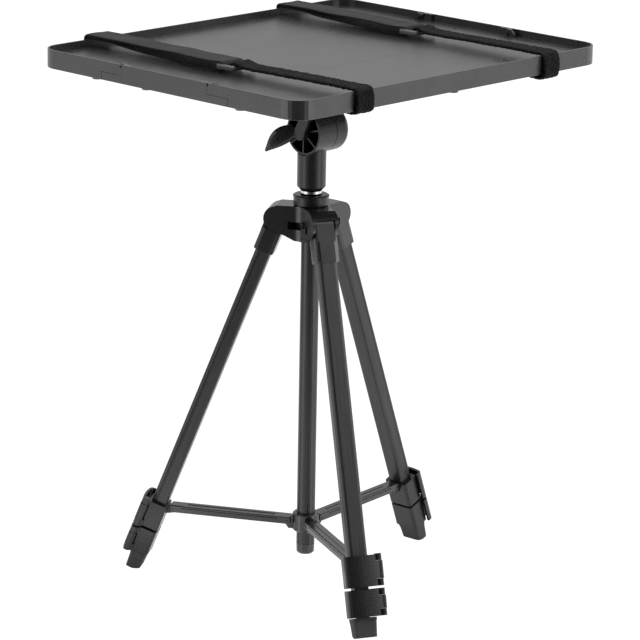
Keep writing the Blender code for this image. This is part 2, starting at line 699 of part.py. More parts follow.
def lever_outline():
    """The lever's section: a crowned band from its barrel round to the leg's far corner."""
    middle = LEVER_CREST - LEVER_THICK / 2
    start = -LEVER_END_Y + 0.0026
    fall = middle - LEVER_BOW
    sweep = []
    steps = 10
    for i in range(steps + 1):
        y = start + (KNUCKLE_Y - start) * i / steps
        share = (y + 0.001) / LEVER_END_Y
        bow = LEVER_BOW if share < 0 else LEVER_BOW / 3
        sweep.append((middle - bow * share * share, y))
    path = [(0.0098, -LEVER_END_Y), (fall - 0.0022, -LEVER_END_Y), (fall - 0.0004, -LEVER_END_Y + 0.0008)]
    return band(path + sweep, LEVER_THICK)


def make_lock(name, bottom, top, grip, slide, lever_top, ear=False):
    """A flip lock's body: it grips the tube above and lets the next section run through."""
    depth = LOCK_IN + LOCK_OUT
    shift = (LOCK_OUT - LOCK_IN) / 2
    low, high = up_leg(bottom), up_leg(top)
    body = plate("lock", rounded(depth, LOCK_SIDE, LOCK_CORNER, 3, shift), low, high)
    soften(body, 0.0008, 1, 60)
    lever_high = up_leg(lever_top)
    spans = ((low, low + KNUCKLE_TALL), (lever_high - KNUCKLE_TALL, lever_high))
    for start, end in spans:
        knuckle = rod("knuckle", KNUCKLE_R, start, end, sides=18)
        move(knuckle, Matrix.Translation((KNUCKLE_X, KNUCKLE_Y, 0)))
        web_high = min(end, high)
        web = block("knuckle_web", (0.0060, KNUCKLE_Y - 0.0110, web_high - start),
                    (0.0115, (KNUCKLE_Y + 0.0110) / 2, (start + web_high) / 2))
        join(body, web, knuckle)
    if ear:
        side = arc(-LOCK_EAR_IN, up_leg(LOCK_EAR_UP), PIVOT_EAR_R - 0.0006, 90, 250, 8)
        side += [(-LOCK_IN + 0.002, up_leg(LOCK_EAR_UP) - 0.0095), (-LOCK_IN + 0.002, high - 0.0002)]
        tab = plate("lock_ear", side, -HUB_EAR_WIDE / 2, HUB_EAR_WIDE / 2)
        hole = rod("lock_ear_hole", PIVOT_R + GAP, -0.02, 0.02, sides=16)
        spot = Matrix.Translation((-LOCK_EAR_IN, 0, up_leg(LOCK_EAR_UP)))
        join(body, move(tab, SIDE_XZ))
        cut(body, move(hole, spot @ TO_Y))
    side, deep, corner = grip
    cut(body, plate("lock_grip", tube_outline(side + 2 * GAP, deep + 2 * GAP, corner),
                    low + LOCK_LIP, high + PAST))
    side, deep, corner = slide
    cut(body, plate("lock_slide", tube_outline(side + 2 * RUN, deep + 2 * RUN, corner),
                    low - PAST, low + LOCK_LIP + PAST))
    three(body, name, MOULDED, LEG_AXES)


def make_lever(name, bottom, lever_top):
    """A flip lever, hinged between its lock's two knuckles."""
    low, high = up_leg(bottom) + 0.0002, up_leg(lever_top) - 0.0010
    lever = plate("lever", lever_outline(), low, high)
    inner_low = up_leg(bottom) + KNUCKLE_TALL + KNUCKLE_PLAY
    inner_high = up_leg(lever_top) - KNUCKLE_TALL - KNUCKLE_PLAY
    notch_from = KNUCKLE_Y - KNUCKLE_R - 0.0006
    for start, end in ((low - PAST, inner_low), (inner_high, high + PAST)):
        notch = block("lever_notch", (0.03, 0.02, end - start),
                      (KNUCKLE_X, notch_from + 0.01, (start + end) / 2))
        cut(lever, notch)
    barrel = rod("lever_barrel", LEVER_BARREL_R, inner_low, inner_high, sides=18)
    move(barrel, Matrix.Translation((KNUCKLE_X, KNUCKLE_Y, 0)))
    join(lever, barrel)
    pivots = [anchor(f"{name}_{i + 1}_axis", Matrix.Translation((KNUCKLE_X, KNUCKLE_Y, 0)), axis)
              for i, axis in enumerate(LEG_AXES)]
    move(lever, Matrix.Translation((-KNUCKLE_X, -KNUCKLE_Y, 0)))
    three(lever, name, MOULDED, pivots)


def make_locks():
    upper = (UPPER_SIDE, UPPER_DEEP, TUBE_CORNER)
    middle = (MID_SIDE, MID_DEEP, MID_CORNER)
    lower = (LOW_SIDE, LOW_DEEP, LOW_CORNER)
    make_lock("lock_upper", UP_LOCK_BOTTOM, UP_LOCK_TOP, upper, middle, UP_LEVER_TOP, ear=True)
    make_lock("lock_lower", LOW_LOCK_BOTTOM, LOW_LOCK_TOP, middle, lower, LOW_LOCK_TOP)
    make_lever("lever_upper", UP_LOCK_BOTTOM, UP_LEVER_TOP)
    make_lever("lever_lower", LOW_LOCK_BOTTOM, LOW_LOCK_TOP)


def make_feet():
    """A tapered rubber foot, trimmed by the floor and open to the lower section."""
    foot = plate("foot", rounded(FOOT_DEEP, FOOT_SIDE, 0.0040), up_leg(0.0), up_leg(FOOT_TOP - FOOT_RIM))
    for vert in foot.data.vertices:
        if vert.co.z < up_leg(0.001):
            vert.co.x *= FOOT_TAPER
            vert.co.y *= FOOT_TAPER
    soften(foot, 0.0010, 2, 60)
    rim = plate("foot_rim", rounded(FOOT_DEEP + 0.0010, FOOT_SIDE + 0.0010, 0.0045),
                up_leg(FOOT_TOP - FOOT_RIM - 0.0002), up_leg(FOOT_TOP))
    join(foot, rim)
    socket = plate("foot_socket", tube_outline(LOW_SIDE + 2 * GAP, LOW_DEEP + 2 * GAP, LOW_CORNER),
                   up_leg(FOOT_GRIP - GAP), up_leg(FOOT_TOP + PAST))
    floor = block("foot_floor", (0.2, 0.2, 0.1), (0, 0, -0.05))
    move(floor, Matrix.Translation((0, 0, -LEG_RUN)) @ Matrix.Rotation(LEG_LEAN, 4, "Y"))
    cut(foot, socket, floor)
    three(foot, "foot", RUBBER, LEG_AXES)


# Head
def make_pan_housing():
    """The neck and the fixed half of the tilt barrel, with its open ribbed end."""
    neck = turned("neck", [(0, BARREL_Z - 0.004), (NECK_R, BARREL_Z - 0.004), (NECK_R, NECK_BOTTOM + NECK_CHAMFER),
                           (NECK_R - NECK_CHAMFER, NECK_BOTTOM), (0, NECK_BOTTOM)], steps=40)
    on_axis = Matrix.Translation((0, 0, BARREL_Z)) @ TO_X
    drum = rod("barrel", BARREL_R, BARREL_LEFT - 0.0005, BARREL_SPLIT + 0.0010, sides=48)
    under = BARREL_Z - BARREL_R - 0.0005
    face = block("barrel_face", (0.04, 0.1, 0.1), (BARREL_LEFT - 0.02, 0, under + 0.05))
    relief = rod("relief", BARREL_R + 2 * RUN, BARREL_SPLIT, 2 * NECK_R, sides=44)
    join(neck, move(drum, on_axis))
    cut(neck, face, move(relief, on_axis))
    share = 360 / BARREL_WEBS
    inner = BARREL_R - BARREL_WALL
    outer_half = BARREL_WEB / 2 / inner * 180 / pi
    core_half = BARREL_WEB / 2 / BARREL_CORE_R * 180 / pi
    for web in range(BARREL_WEBS):
        start, stop = share * web, share * (web + 1)
        cell = arc(0, 0, inner, start + outer_half, stop - outer_half, 5)
        cell += arc(0, 0, BARREL_CORE_R, stop - core_half, start + core_half, 3)
        hollow = plate("barrel_cell", cell, BARREL_LEFT - PAST, BARREL_LEFT + BARREL_DEEP)
        cut(neck, move(hollow, on_axis))
    axle_hole = rod("barrel_hole", AXLE_R + RUN, BARREL_LEFT - PAST, BARREL_SPLIT + PAST, sides=20)
    cut(neck, move(axle_hole, on_axis))
    cut(neck, rod("neck_socket", COLUMN_R + RUN, NECK_BOTTOM - PAST, COLUMN_TOP + GAP, sides=32))
    finish(neck, "pan_housing", MOULDED, STAND)


def make_tilt_head():
    """The moving half of the barrel, and the platform that it carries over the fixed half."""
    on_axis = Matrix.Translation((0, 0, BARREL_Z)) @ TO_X
    start = BARREL_SPLIT + RUN
    profile = [(BARREL_R - 0.0006, start), (0, start)]
    crown = [(x, y) for y, x in arc(BARREL_RIGHT - BARREL_ROUND, BARREL_R - BARREL_ROUND,
                                    BARREL_ROUND, 0, 90, 5)]
    outer = [(0, BARREL_RIGHT)] + crown + [(BARREL_R, start + 0.0006)] + profile
    drum = turned("drum", outer, steps=48)
    move(drum, on_axis)
    cheek_low = BARREL_Z
    cheek = block("cheek", (BARREL_RIGHT - 0.004 - start - 0.002, 0.030, PLATFORM_LOW - cheek_low + 0.001),
                  ((BARREL_RIGHT - 0.004 + start + 0.002) / 2, 0, (cheek_low + PLATFORM_LOW + 0.001) / 2))
    left = (BARREL_LEFT + BARREL_RIGHT) / 2
    platform = plate("platform", rounded(PLATFORM_X, PLATFORM_Y, 0.006, 4, left), PLATFORM_LOW, PLATFORM_TOP)
    soften(platform, 0.0012, 2, 60)
    stud = rod("stud", STUD_R, PLATFORM_LOW + 0.001, PLATFORM_TOP + STUD_TALL, sides=20)
    join(drum, cheek, platform, stud)
    axle = rod("axle_hole", AXLE_R + GAP, start - PAST, BARREL_RIGHT - 0.010, sides=20)
    cut(drum, move(axle, on_axis))
    tilt = anchor("tilt_axis", Matrix.Translation((0, 0, BARREL_Z)), STAND)
    move(drum, Matrix.Translation((0, 0, -BARREL_Z)))
    finish(drum, "tilt_head", MOULDED, tilt)

    axle = rod("axle", AXLE_R, BARREL_LEFT + 0.0015, BARREL_RIGHT - 0.010 - GAP, sides=20)
    finish(move(axle, TO_X), "tilt_axle", PIN_STEEL, tilt)

    return tilt


def make_tilt_lever(tilt):
    """The wing lever that clamps the tilt, on the barrel's open end."""
    hub_end = BARREL_LEFT - RUN
    hub = rod("lever_hub", LEVER_HUB_R, hub_end - LEVER_HUB_LONG, hub_end, sides=28)
    move(hub, TO_X)
    face = hub_end - LEVER_HUB_LONG
    bar = plate("lever_bar", rounded(LEVER_BAR_WIDE, LEVER_BAR_LONG, 0.0035, 3, 0,
                                     LEVER_BAR_LONG / 2 - LEVER_BAR_BELOW), face - 0.0006,
                face + LEVER_BAR_THICK - 0.0006)
    soften(bar, 0.0009, 1, 60)
    move(bar, Matrix.Rotation(LEVER_BAR_TURN, 4, "X") @ SIDE_YZ)
    root = Vector((hub_end - PADDLE_ROOT[0], PADDLE_ROOT[1], PADDLE_ROOT[2]))
    tip = Vector((hub_end - PADDLE_TIP[0], PADDLE_TIP[1], PADDLE_TIP[2]))
    along = (tip - root).normalized()
    out = Vector((-0.66, -0.62, 0.12))
    out = (out - along * out.dot(along)).normalized()
    across = along.cross(out)
    widths = (0.72, 0.84, 0.95, 1.0, 0.98, 0.90, 0.76, 0.56, 0.33, 0.12)
    sides = 14
    shape = bmesh.new()
    rings = []
    for i, share in enumerate(widths):
        t = i / (len(widths) - 1)
        middle = root.lerp(tip, t) + across * (PADDLE_ARCH * sin(pi * t)) + out * (0.0025 * sin(pi * t))
        wide, thick = PADDLE_WIDE * share, PADDLE_THICK * (1 - 0.55 * t) * min(1.0, 0.25 + 1.6 * share)
        ring = []
        for k in range(sides):
            a = 2 * pi * k / sides
            ring.append(shape.verts.new(middle + across * (wide / 2 * cos(a)) + out * (thick / 2 * sin(a))))
        rings.append(ring)
    for a, b in zip(rings, rings[1:]):
        for k in range(sides):
            shape.faces.new((a[k], a[(k + 1) % sides], b[(k + 1) % sides], b[k]))
    shape.faces.new(rings[0][::-1])
    shape.faces.new(rings[-1])
    bmesh.ops.recalc_face_normals(shape, faces=shape.faces)
    mesh = bpy.data.meshes.new("paddle")
    shape.to_mesh(mesh)
    shape.free()
    paddle = new_object("paddle", mesh)
    join(hub, bar, paddle)
    finish(hub, "tilt_lever", MOULDED, tilt)


def make_mount_block(tilt):
    """The block between the head's platform and the underside of the tray."""
    low = PLATFORM_TOP + GAP
    high = PLATE_UNDER - GAP
    foot_top = low + BLOCK_FOOT_TALL
    shift = (BARREL_LEFT + BARREL_RIGHT) / 2
    foot = plate("block_foot", rounded(BLOCK_FOOT_X, BLOCK_FOOT_Y, 0.004, 3, shift), low, foot_top)
    soften(foot, 0.0010, 1, 60)
    grow = plate("block_body", rounded(BLOCK_FOOT_X - 0.004, BLOCK_FOOT_Y - 0.004, 0.004, 3, shift),
                 foot_top - 0.001, high - BLOCK_TOP_THICK + 0.0005)
    middle = Vector((-COLUMN_X, -COLUMN_Y, 0))
    for vert in grow.data.vertices:
        if vert.co.z > foot_top:
            vert.co.x = middle.x + (vert.co.x - shift) * 1.55
            vert.co.y = middle.y + vert.co.y * 1.60
    flange = plate("block_flange", rounded(BLOCK_TOP_X, BLOCK_TOP_Y, 0.010, 4, middle.x, middle.y),
                   high - BLOCK_TOP_THICK, high)
    soften(flange, 0.0008, 1, 60)
    join(foot, grow, flange)
    cut(foot, rod("block_hole", STUD_R + GAP, low - PAST, PLATFORM_TOP + STUD_TALL + GAP, sides=20))
    move(foot, Matrix.Translation((0, 0, -BARREL_Z)))
    finish(foot, "tray_mount_block", MOULDED, tilt)


# Tray
def tray_shell(name):
    """The whole tray as one shell: rim, recessed plate, and ribs and feet under it."""
    shell = plate(name, rounded(TRAY_X, TRAY_Y, TRAY_CORNER, 9), RIM_BOTTOM, RIM_TOP)
    inner = rounded(TRAY_X - 2 * RIM_WALL, TRAY_Y - 2 * RIM_WALL, TRAY_CORNER - RIM_WALL, 9)
    soften(shell, 0.0008, 1, 60)
    cut(shell, plate("well", inner, SURFACE, RIM_TOP + PAST),
        plate("under", inner, RIM_BOTTOM - PAST, PLATE_UNDER))
    return shell


def side_prism(name, outline):
    """A y, z outline run the full length of the tray."""
    return move(plate(name, outline, -TRAY_X, TRAY_X), SIDE_YZ)


def make_middle():
    lap = RIM_TOP - LAP_DROP
    low, high = RIM_BOTTOM - 2 * PAST, RIM_TOP + 2 * PAST
    middle = tray_shell("tray_middle")
    outline = [(-LAP_LOW, low), (LAP_LOW, low), (LAP_LOW, lap), (LAP_UP, lap), (LAP_UP, high),
               (-LAP_UP, high), (-LAP_UP, lap), (-LAP_LOW, lap)]
    combine(middle, [side_prism("middle_part", outline)], "INTERSECT")
    rib_low = PLATE_UNDER - RIB_TALL
    for x in (-0.19, -0.125, 0.125, 0.19):
        join(middle, block("rib", (RIB_WIDE, 2 * LAP_UP - 0.004, RIB_TALL + 0.001),
                           (x, 0, (rib_low + PLATE_UNDER + 0.001) / 2)))
    for side in (-1, 1):
        edge = TRAY_X / 2 - RIM_WALL
        shelf = block("lap_shelf", (0.010, 2 * LAP_LOW - 0.010, 0.0026),
                      (side * (edge - 0.0045), 0, lap - 0.0013 - 0.0004))
        join(middle, shelf)
        long = BLOCK_TOP_X / 2 + 0.006
        span = edge - long
        join(middle, block("long_rib", (span + 0.001, RIB_WIDE, RIB_TALL + 0.001),
                           (side * (long + span / 2 + 0.0005), 0, (rib_low + PLATE_UNDER + 0.001) / 2)))
        pad = rod("pad", FOOT_PAD_R, RIM_BOTTOM - FOOT_PAD_TALL, lap - 0.002, sides=20)
        join(middle, move(pad, Matrix.Translation((side * (edge - FOOT_PAD_R + 0.0015), 0.033, 0))))
        for end in (-1, 1):
            ear_x = side * (edge - SEAM - HINGE_EAR / 2)
            outline = [(LAP_UP - HINGE_ROOT, PIN_Z - HINGE_EAR_R), (PIN_Y, PIN_Z - HINGE_EAR_R)]
            outline += arc(PIN_Y, PIN_Z, HINGE_EAR_R, -90, 90, 8)[1:]
            outline += [(LAP_UP - HINGE_ROOT, PIN_Z + HINGE_EAR_R)]
            if end < 0:
                outline = [(-y, z) for y, z in outline][::-1]
            ear = plate("ear", outline, ear_x - HINGE_EAR / 2, ear_x + HINGE_EAR / 2)
            root_top = RIM_TOP - 0.0008
            root = block("ear_root", (SEAM + HINGE_EAR + 0.001, HINGE_ROOT, root_top - SURFACE + 0.001),
                         (side * (edge - (SEAM + HINGE_EAR - 0.001) / 2), end * (LAP_UP - HINGE_ROOT / 2),
                          (root_top + SURFACE - 0.001) / 2))
            join(middle, move(ear, SIDE_YZ), root)
            hole = rod("ear_hole", WING_PIN_R + GAP, -0.01, 0.01, sides=12)
            cut(middle, move(hole, Matrix.Translation((ear_x, end * PIN_Y, PIN_Z)) @ TO_X))
    finish(middle, "tray_middle", TRAY_GREY)


def make_wing(name, end):
    """A wing, on the rear side for end 1 and on the front side for end -1."""
    lap = RIM_TOP - LAP_DROP + SEAM
    low, high = RIM_BOTTOM - 2 * PAST, RIM_TOP + 2 * PAST
    radius = WING_PIN_IN - SEAM / 2
    start = PIN_Y - radius
    outline = [(TRAY_Y, low), (TRAY_Y, high), (PIN_Y, high)]
    outline += arc(PIN_Y, PIN_Z, radius, 90, 180, 6)
    outline += [(start, lap), (LAP_LOW + SEAM, lap), (LAP_LOW + SEAM, low)]
    if end > 0:
        outline = outline[::-1]
    wing = tray_shell(name)
    combine(wing, [side_prism("wing_part", [(end * y, z) for y, z in outline])], "INTERSECT")
    rib_low = PLATE_UNDER - RIB_TALL
    rib_from, rib_to = LAP_UP + 0.012, TRAY_Y / 2 - RIM_WALL + 0.001
    edge = TRAY_X / 2 - RIM_WALL
    for x in (-0.16, 0.0, 0.16):
        join(wing, block("rib", (RIB_WIDE, rib_to - rib_from, RIB_TALL + 0.001),
                         (x, end * (rib_from + rib_to) / 2, (rib_low + PLATE_UNDER + 0.001) / 2)))
    pads = [(0.0, TRAY_Y / 2 - FOOT_PAD_R), (-edge + FOOT_PAD_R - 0.0015, LAP_LOW + 0.014),
            (edge - FOOT_PAD_R + 0.0015, LAP_LOW + 0.014)]
    for x, y in pads:
        pad = rod("pad", FOOT_PAD_R, RIM_BOTTOM - FOOT_PAD_TALL, PLATE_UNDER + 0.001, sides=20)
        join(wing, move(pad, Matrix.Translation((x, end * y, 0))))
    for side in (-1, 1):
        ear_x = side * (edge - 2 * SEAM - 1.5 * HINGE_EAR)
        outline = arc(PIN_Y, PIN_Z, HINGE_EAR_R, 90, 270, 8)
        outline += [(PIN_Y + 0.004, PIN_Z - HINGE_EAR_R), (PIN_Y + 0.004, SURFACE - 0.0005),
                    (PIN_Y + HINGE_ROOT, SURFACE - 0.0005), (PIN_Y + HINGE_ROOT, SURFACE + 0.002),
                    (PIN_Y + 0.006, PIN_Z + HINGE_EAR_R)]
        if end < 0:
            outline = [(-y, z) for y, z in outline][::-1]
        ear = plate("ear", outline, ear_x - HINGE_EAR / 2, ear_x + HINGE_EAR / 2)
        join(wing, move(ear, SIDE_YZ))
        hole = rod("ear_hole", WING_PIN_R + GAP, -0.01, 0.01, sides=12)
        cut(wing, move(hole, Matrix.Translation((ear_x, end * PIN_Y, PIN_Z)) @ TO_X))
    axis = anchor(name + "_axis", Matrix.Translation((0, end * PIN_Y, PIN_Z)))
    move(wing, Matrix.Translation((0, -end * PIN_Y, -PIN_Z)))
    finish(wing, name, TRAY_GREY, axis)
    for side, word in ((-1, "left"), (1, "right")):
        middle_x = side * (edge - 1.5 * SEAM - HINGE_EAR)
        pin = rod("pin", WING_PIN_R, -WING_PIN_LONG / 2, WING_PIN_LONG / 2, sides=12)
        move(pin, Matrix.Translation((middle_x, 0, 0)) @ TO_X)
        finish(pin, f"{name}_pin_{word}", PIN_STEEL, axis)
    return axis


# Straps
def strap_end_path():
    """A strap's route from the hinge line over the rear rim and back under it."""
    top = RIM_TOP + GAP + STRAP_THICK / 2
    out = TRAY_Y / 2 + GAP + STRAP_THICK / 2
    under = RIM_BOTTOM - GAP - STRAP_THICK / 2
    turn = STRAP_THICK / 2 + 0.0010
    path = [(PIN_Y, top), ((PIN_Y + out) / 2, top), (out - turn - 0.004, top)]
    path += arc(out - turn, top - turn, turn, 90, 0, 4)
    path += arc(out - turn, under + turn, turn, 0, -90, 4)
    path += [(out - STRAP_RETURN, under)]
    return path


def make_straps(axes):
    low = RIM_TOP + GAP
    swing = STRAP_END_R + GAP
    middle_end = PIN_Y - max(STRAP_OVER + STRAP_THICK + GAP, (swing ** 2 - STRAP_OVER ** 2) ** 0.5)
    foot, crest = (180 - degrees(asin(up / STRAP_END_R)) for up in (STRAP_OVER, STRAP_OVER + STRAP_THICK))
    round_end = arc(PIN_Y, PIN_Z, STRAP_END_R, foot, crest, 5)
    for word, x, buckle_y in (("left", -STRAP_X, BUCKLE_LEFT_Y), ("right", STRAP_X, BUCKLE_RIGHT_Y)):
        across = (x - STRAP_WIDE / 2, x + STRAP_WIDE / 2)
        for end_word, end in (("rear", 1), ("front", -1)):
            outline = band(strap_end_path(), STRAP_THICK) + round_end
            if end < 0:
                outline = [(-y, z) for y, z in outline][::-1]
            strap = move(plate("strap", outline, *across), SIDE_YZ)
            move(strap, Matrix.Translation((0, -end * PIN_Y, -PIN_Z)))
            finish(strap, f"strap_{word}_{end_word}", WEBBING, axes[end])
        run = [(-middle_end, low), (middle_end, low), (middle_end, low + STRAP_THICK),
               (-middle_end, low + STRAP_THICK)]
        finish(move(plate("strap", run, *across), SIDE_YZ), f"strap_{word}_middle", WEBBING)
        base = RIM_TOP - BUCKLE_THICK
        frame = plate("buckle", rounded(BUCKLE_WIDE, BUCKLE_LONG, 0.003, 3, x, buckle_y), base, RIM_TOP)
        soften(frame, 0.0012, 1, 60)
        slot_long = (BUCKLE_LONG - 3 * BUCKLE_BAR) / 2
        for side in (-1, 1):
            y = buckle_y + side * (slot_long + BUCKLE_BAR) / 2
            cut(frame, block("buckle_slot", (BUCKLE_WIDE - 2 * BUCKLE_BAR, slot_long, 0.05), (x, y, base)))
        finish(frame, f"buckle_{word}", BUCKLE)


make_crown()
make_collar()
make_column()
make_spreader()
make_tubes()
make_leg_caps()
make_locks()
make_feet()
make_pan_housing()
TILT = make_tilt_head()
make_tilt_lever(TILT)
make_mount_block(TILT)
make_middle()
WING_AXES = {1: make_wing("tray_wing_rear", 1), -1: make_wing("tray_wing_front", -1)}
make_straps(WING_AXES)

for cutter in CUTTERS.objects:
    cutter.hide_render = True
    cutter.display_type = "WIRE"
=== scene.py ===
"""Looks for the projector table: finishes for the stand, head and tray, and modelled straps and buckles."""
from math import cos, hypot, pi, radians, sin

import bpy
from mathutils import Matrix, Vector, noise


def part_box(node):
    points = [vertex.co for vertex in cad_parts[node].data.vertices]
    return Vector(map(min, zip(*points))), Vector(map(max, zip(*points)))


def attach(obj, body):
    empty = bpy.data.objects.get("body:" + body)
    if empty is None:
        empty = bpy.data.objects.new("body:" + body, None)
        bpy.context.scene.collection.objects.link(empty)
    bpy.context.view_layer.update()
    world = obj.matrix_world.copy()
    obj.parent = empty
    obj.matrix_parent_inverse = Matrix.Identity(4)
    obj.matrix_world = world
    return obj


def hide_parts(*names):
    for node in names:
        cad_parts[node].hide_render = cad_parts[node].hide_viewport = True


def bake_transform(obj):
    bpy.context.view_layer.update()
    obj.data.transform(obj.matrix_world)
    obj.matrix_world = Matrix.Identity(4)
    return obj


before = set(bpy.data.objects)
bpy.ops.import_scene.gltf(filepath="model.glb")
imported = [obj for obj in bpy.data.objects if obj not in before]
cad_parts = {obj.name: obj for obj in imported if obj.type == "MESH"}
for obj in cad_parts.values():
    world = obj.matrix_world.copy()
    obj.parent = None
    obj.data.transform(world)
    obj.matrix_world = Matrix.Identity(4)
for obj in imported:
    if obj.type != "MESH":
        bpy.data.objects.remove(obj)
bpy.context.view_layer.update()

# Places on the tray, in metres
RIM_TALL = 0.0215
RIM_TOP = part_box("tray_middle")[1][2]
RIM_BOTTOM = RIM_TOP - RIM_TALL
EDGE_Y = 0.2070         # outer faces of the long rims, from the middle

# Sizes of the straps and their rings
WOVEN = 0.0024          # thickness of the woven tape
TAPE = 0.0036           # thickness of the loop tape
UNDER_WIDE = 0.0322     # the woven tape's lower layer
OVER_WIDE = 0.0332      # the woven tape's upper layer
LOOP_WIDE = 0.0262
TOP_GAP = 0.0003        # from the rim's top to a tape
SIDE_GAP = 0.0006       # from the rim's side and underside to a tape, and from layer to layer
RETURN = 0.0200         # from the rim's outer face in to where a tape begins to turn over it, and to its end
RING_UP = -0.0006       # from the rim's top up to the ring's middle
RING_LONG = 0.0250
RING_WIDE = 0.0385
RING_THICK = 0.0060
RING_BAR = 0.0050
RING_ROUND = 0.0018
SHARP_ANGLE = radians(40)

# Mesh of a tape
STEP = 0.0012           # spacing of the rows along it
CURVE_STEPS = 24        # steps between two points of its route
FLAT_STEPS = 10         # steps across each flat side
CORNER_STEPS = 3        # steps in each quarter of a rounded edge
EDGE_ROUND = 0.46       # radius of the edges, as a share of the thickness
RIPPLE_ACROSS, RIPPLE_ALONG = 60, 26
EDGE_ACROSS, EDGE_ALONG, EDGE_SHARE = 90, 0.12, 0.02
SWAY_ALONG = 0.02
FUZZ_COARSE, FUZZ_FINE, FUZZ_SHARE = 420, 1300, 0.7


def nothing_selected():
    """Leave every object unselected, because an operator acts on all that is selected."""
    if bpy.context.object and bpy.context.object.mode != "OBJECT":
        bpy.ops.object.mode_set(mode="OBJECT")
    bpy.ops.object.select_all(action="DESELECT")


def only(obj):
    """Leave one object selected and active."""
    nothing_selected()
    obj.select_set(True)
    bpy.context.view_layer.objects.active = obj


def apply_all(obj):
    """Apply every modifier, and put the piece's place into its mesh."""
    only(obj)
    for modifier in list(obj.modifiers):
        bpy.ops.object.modifier_apply(modifier=modifier.name)
    bpy.ops.object.transform_apply(location=True, rotation=True, scale=True)


# Shader groups
def new_group(name, inputs, outputs):
    """A shader group with named sockets, and its two end nodes."""
    group = bpy.data.node_groups.new(name, "ShaderNodeTree")
    for label, value in inputs:
        socket = group.interface.new_socket(name=label, in_out="INPUT", socket_type="NodeSocketFloat")
        socket.default_value = value
    for label in outputs:
        group.interface.new_socket(name=label, in_out="OUTPUT", socket_type="NodeSocketFloat")
    start = group.nodes.new("NodeGroupInput")
    end = group.nodes.new("NodeGroupOutput")
    return group, start, end


def math_node(tree, operation, first, second=None):
    """A math node fed by sockets or plain numbers."""
    node = tree.nodes.new("ShaderNodeMath")
    node.operation = operation
    for slot, value in zip(node.inputs, (first, second)):
        if value is None:
            continue
        if isinstance(value, (int, float)):
            slot.default_value = value
        else:
            tree.links.new(value, slot)
    return node.outputs[0]


def plus_share(tree, base, extra, share):
    """One value plus a share of another."""
    return math_node(tree, "ADD", base, math_node(tree, "MULTIPLY", extra, share))


def spread(tree, value, low, high, to_low=0.0, to_high=1.0):
    """Map a value from one range to another, held at both ends."""
    node = tree.nodes.new("ShaderNodeMapRange")
    node.clamp = True
    for label, number in (("From Min", low), ("From Max", high), ("To Min", to_low), ("To Max", to_high)):
        node.inputs[label].default_value = number
    tree.links.new(value, node.inputs["Value"])
    return node.outputs[0]


def object_noise(tree, scale, detail=3.0, roughness=0.5):
    """Noise on object coordinates, in cycles per metre."""
    coords = tree.nodes.new("ShaderNodeTexCoord")
    texture = tree.nodes.new("ShaderNodeTexNoise")
    texture.inputs["Detail"].default_value = detail
    texture.inputs["Roughness"].default_value = roughness
    if isinstance(scale, (int, float)):
        texture.inputs["Scale"].default_value = scale
    else:
        tree.links.new(scale, texture.inputs["Scale"])
    tree.links.new(coords.outputs["Object"], texture.inputs["Vector"])
    return texture.outputs["Fac"]


def make_grain_group():
    """Moulded grain: fine pebbling, broad uneven tone and light scuffs."""
    group, start, end = new_group("moulded_grain", [("Scale", 900.0), ("Scuffs", 0.3)],
                                  ["Height", "Tone", "Scuff"])
    coords = group.nodes.new("ShaderNodeTexCoord")
    pebbles = group.nodes.new("ShaderNodeTexVoronoi")
    pebbles.feature = "SMOOTH_F1"
    group.links.new(coords.outputs["Object"], pebbles.inputs["Vector"])
    group.links.new(start.outputs["Scale"], pebbles.inputs["Scale"])
    fine = object_noise(group, scale=1600.0, detail=2.0)
    height = plus_share(group, pebbles.outputs["Distance"], fine, 0.6)
    group.links.new(height, end.inputs["Height"])
    broad = object_noise(group, scale=9.0, detail=4.0, roughness=0.6)
    speckle = object_noise(group, scale=420.0, detail=2.0)
    tone = plus_share(group, math_node(group, "MULTIPLY", broad, 0.6), speckle, 0.4)
    group.links.new(spread(group, tone, 0.3, 0.7), end.inputs["Tone"])
    marks = object_noise(group, scale=70.0, detail=6.0, roughness=0.7)
    scuff = math_node(group, "MULTIPLY", spread(group, marks, 0.60, 0.74), start.outputs["Scuffs"])
    group.links.new(scuff, end.inputs["Scuff"])
    return group


def make_lines_group():
    """Drawn metal: fine lines along one direction, given as a height and a tone."""
    group, start, end = new_group("drawn_lines", [("Tilt", 0.0), ("Turn", 0.0)], ["Height", "Tone"])
    coords = group.nodes.new("ShaderNodeTexCoord")
    turn = group.nodes.new("ShaderNodeVectorRotate")
    turn.rotation_type = "Z_AXIS"
    group.links.new(coords.outputs["Object"], turn.inputs["Vector"])
    group.links.new(start.outputs["Turn"], turn.inputs["Angle"])
    lean = group.nodes.new("ShaderNodeVectorRotate")
    lean.rotation_type = "Y_AXIS"
    group.links.new(turn.outputs["Vector"], lean.inputs["Vector"])
    group.links.new(start.outputs["Tilt"], lean.inputs["Angle"])
    drawn_out = group.nodes.new("ShaderNodeMapping")
    drawn_out.inputs["Scale"].default_value = (1.0, 1.0, 0.012)
    group.links.new(lean.outputs["Vector"], drawn_out.inputs["Vector"])
    texture = group.nodes.new("ShaderNodeTexNoise")
    texture.inputs["Scale"].default_value = 1500.0
    texture.inputs["Detail"].default_value = 3.0
    group.links.new(drawn_out.outputs["Vector"], texture.inputs["Vector"])
    group.links.new(texture.outputs["Fac"], end.inputs["Height"])
    group.links.new(spread(group, texture.outputs["Fac"], 0.3, 0.7), end.inputs["Tone"])
    return group


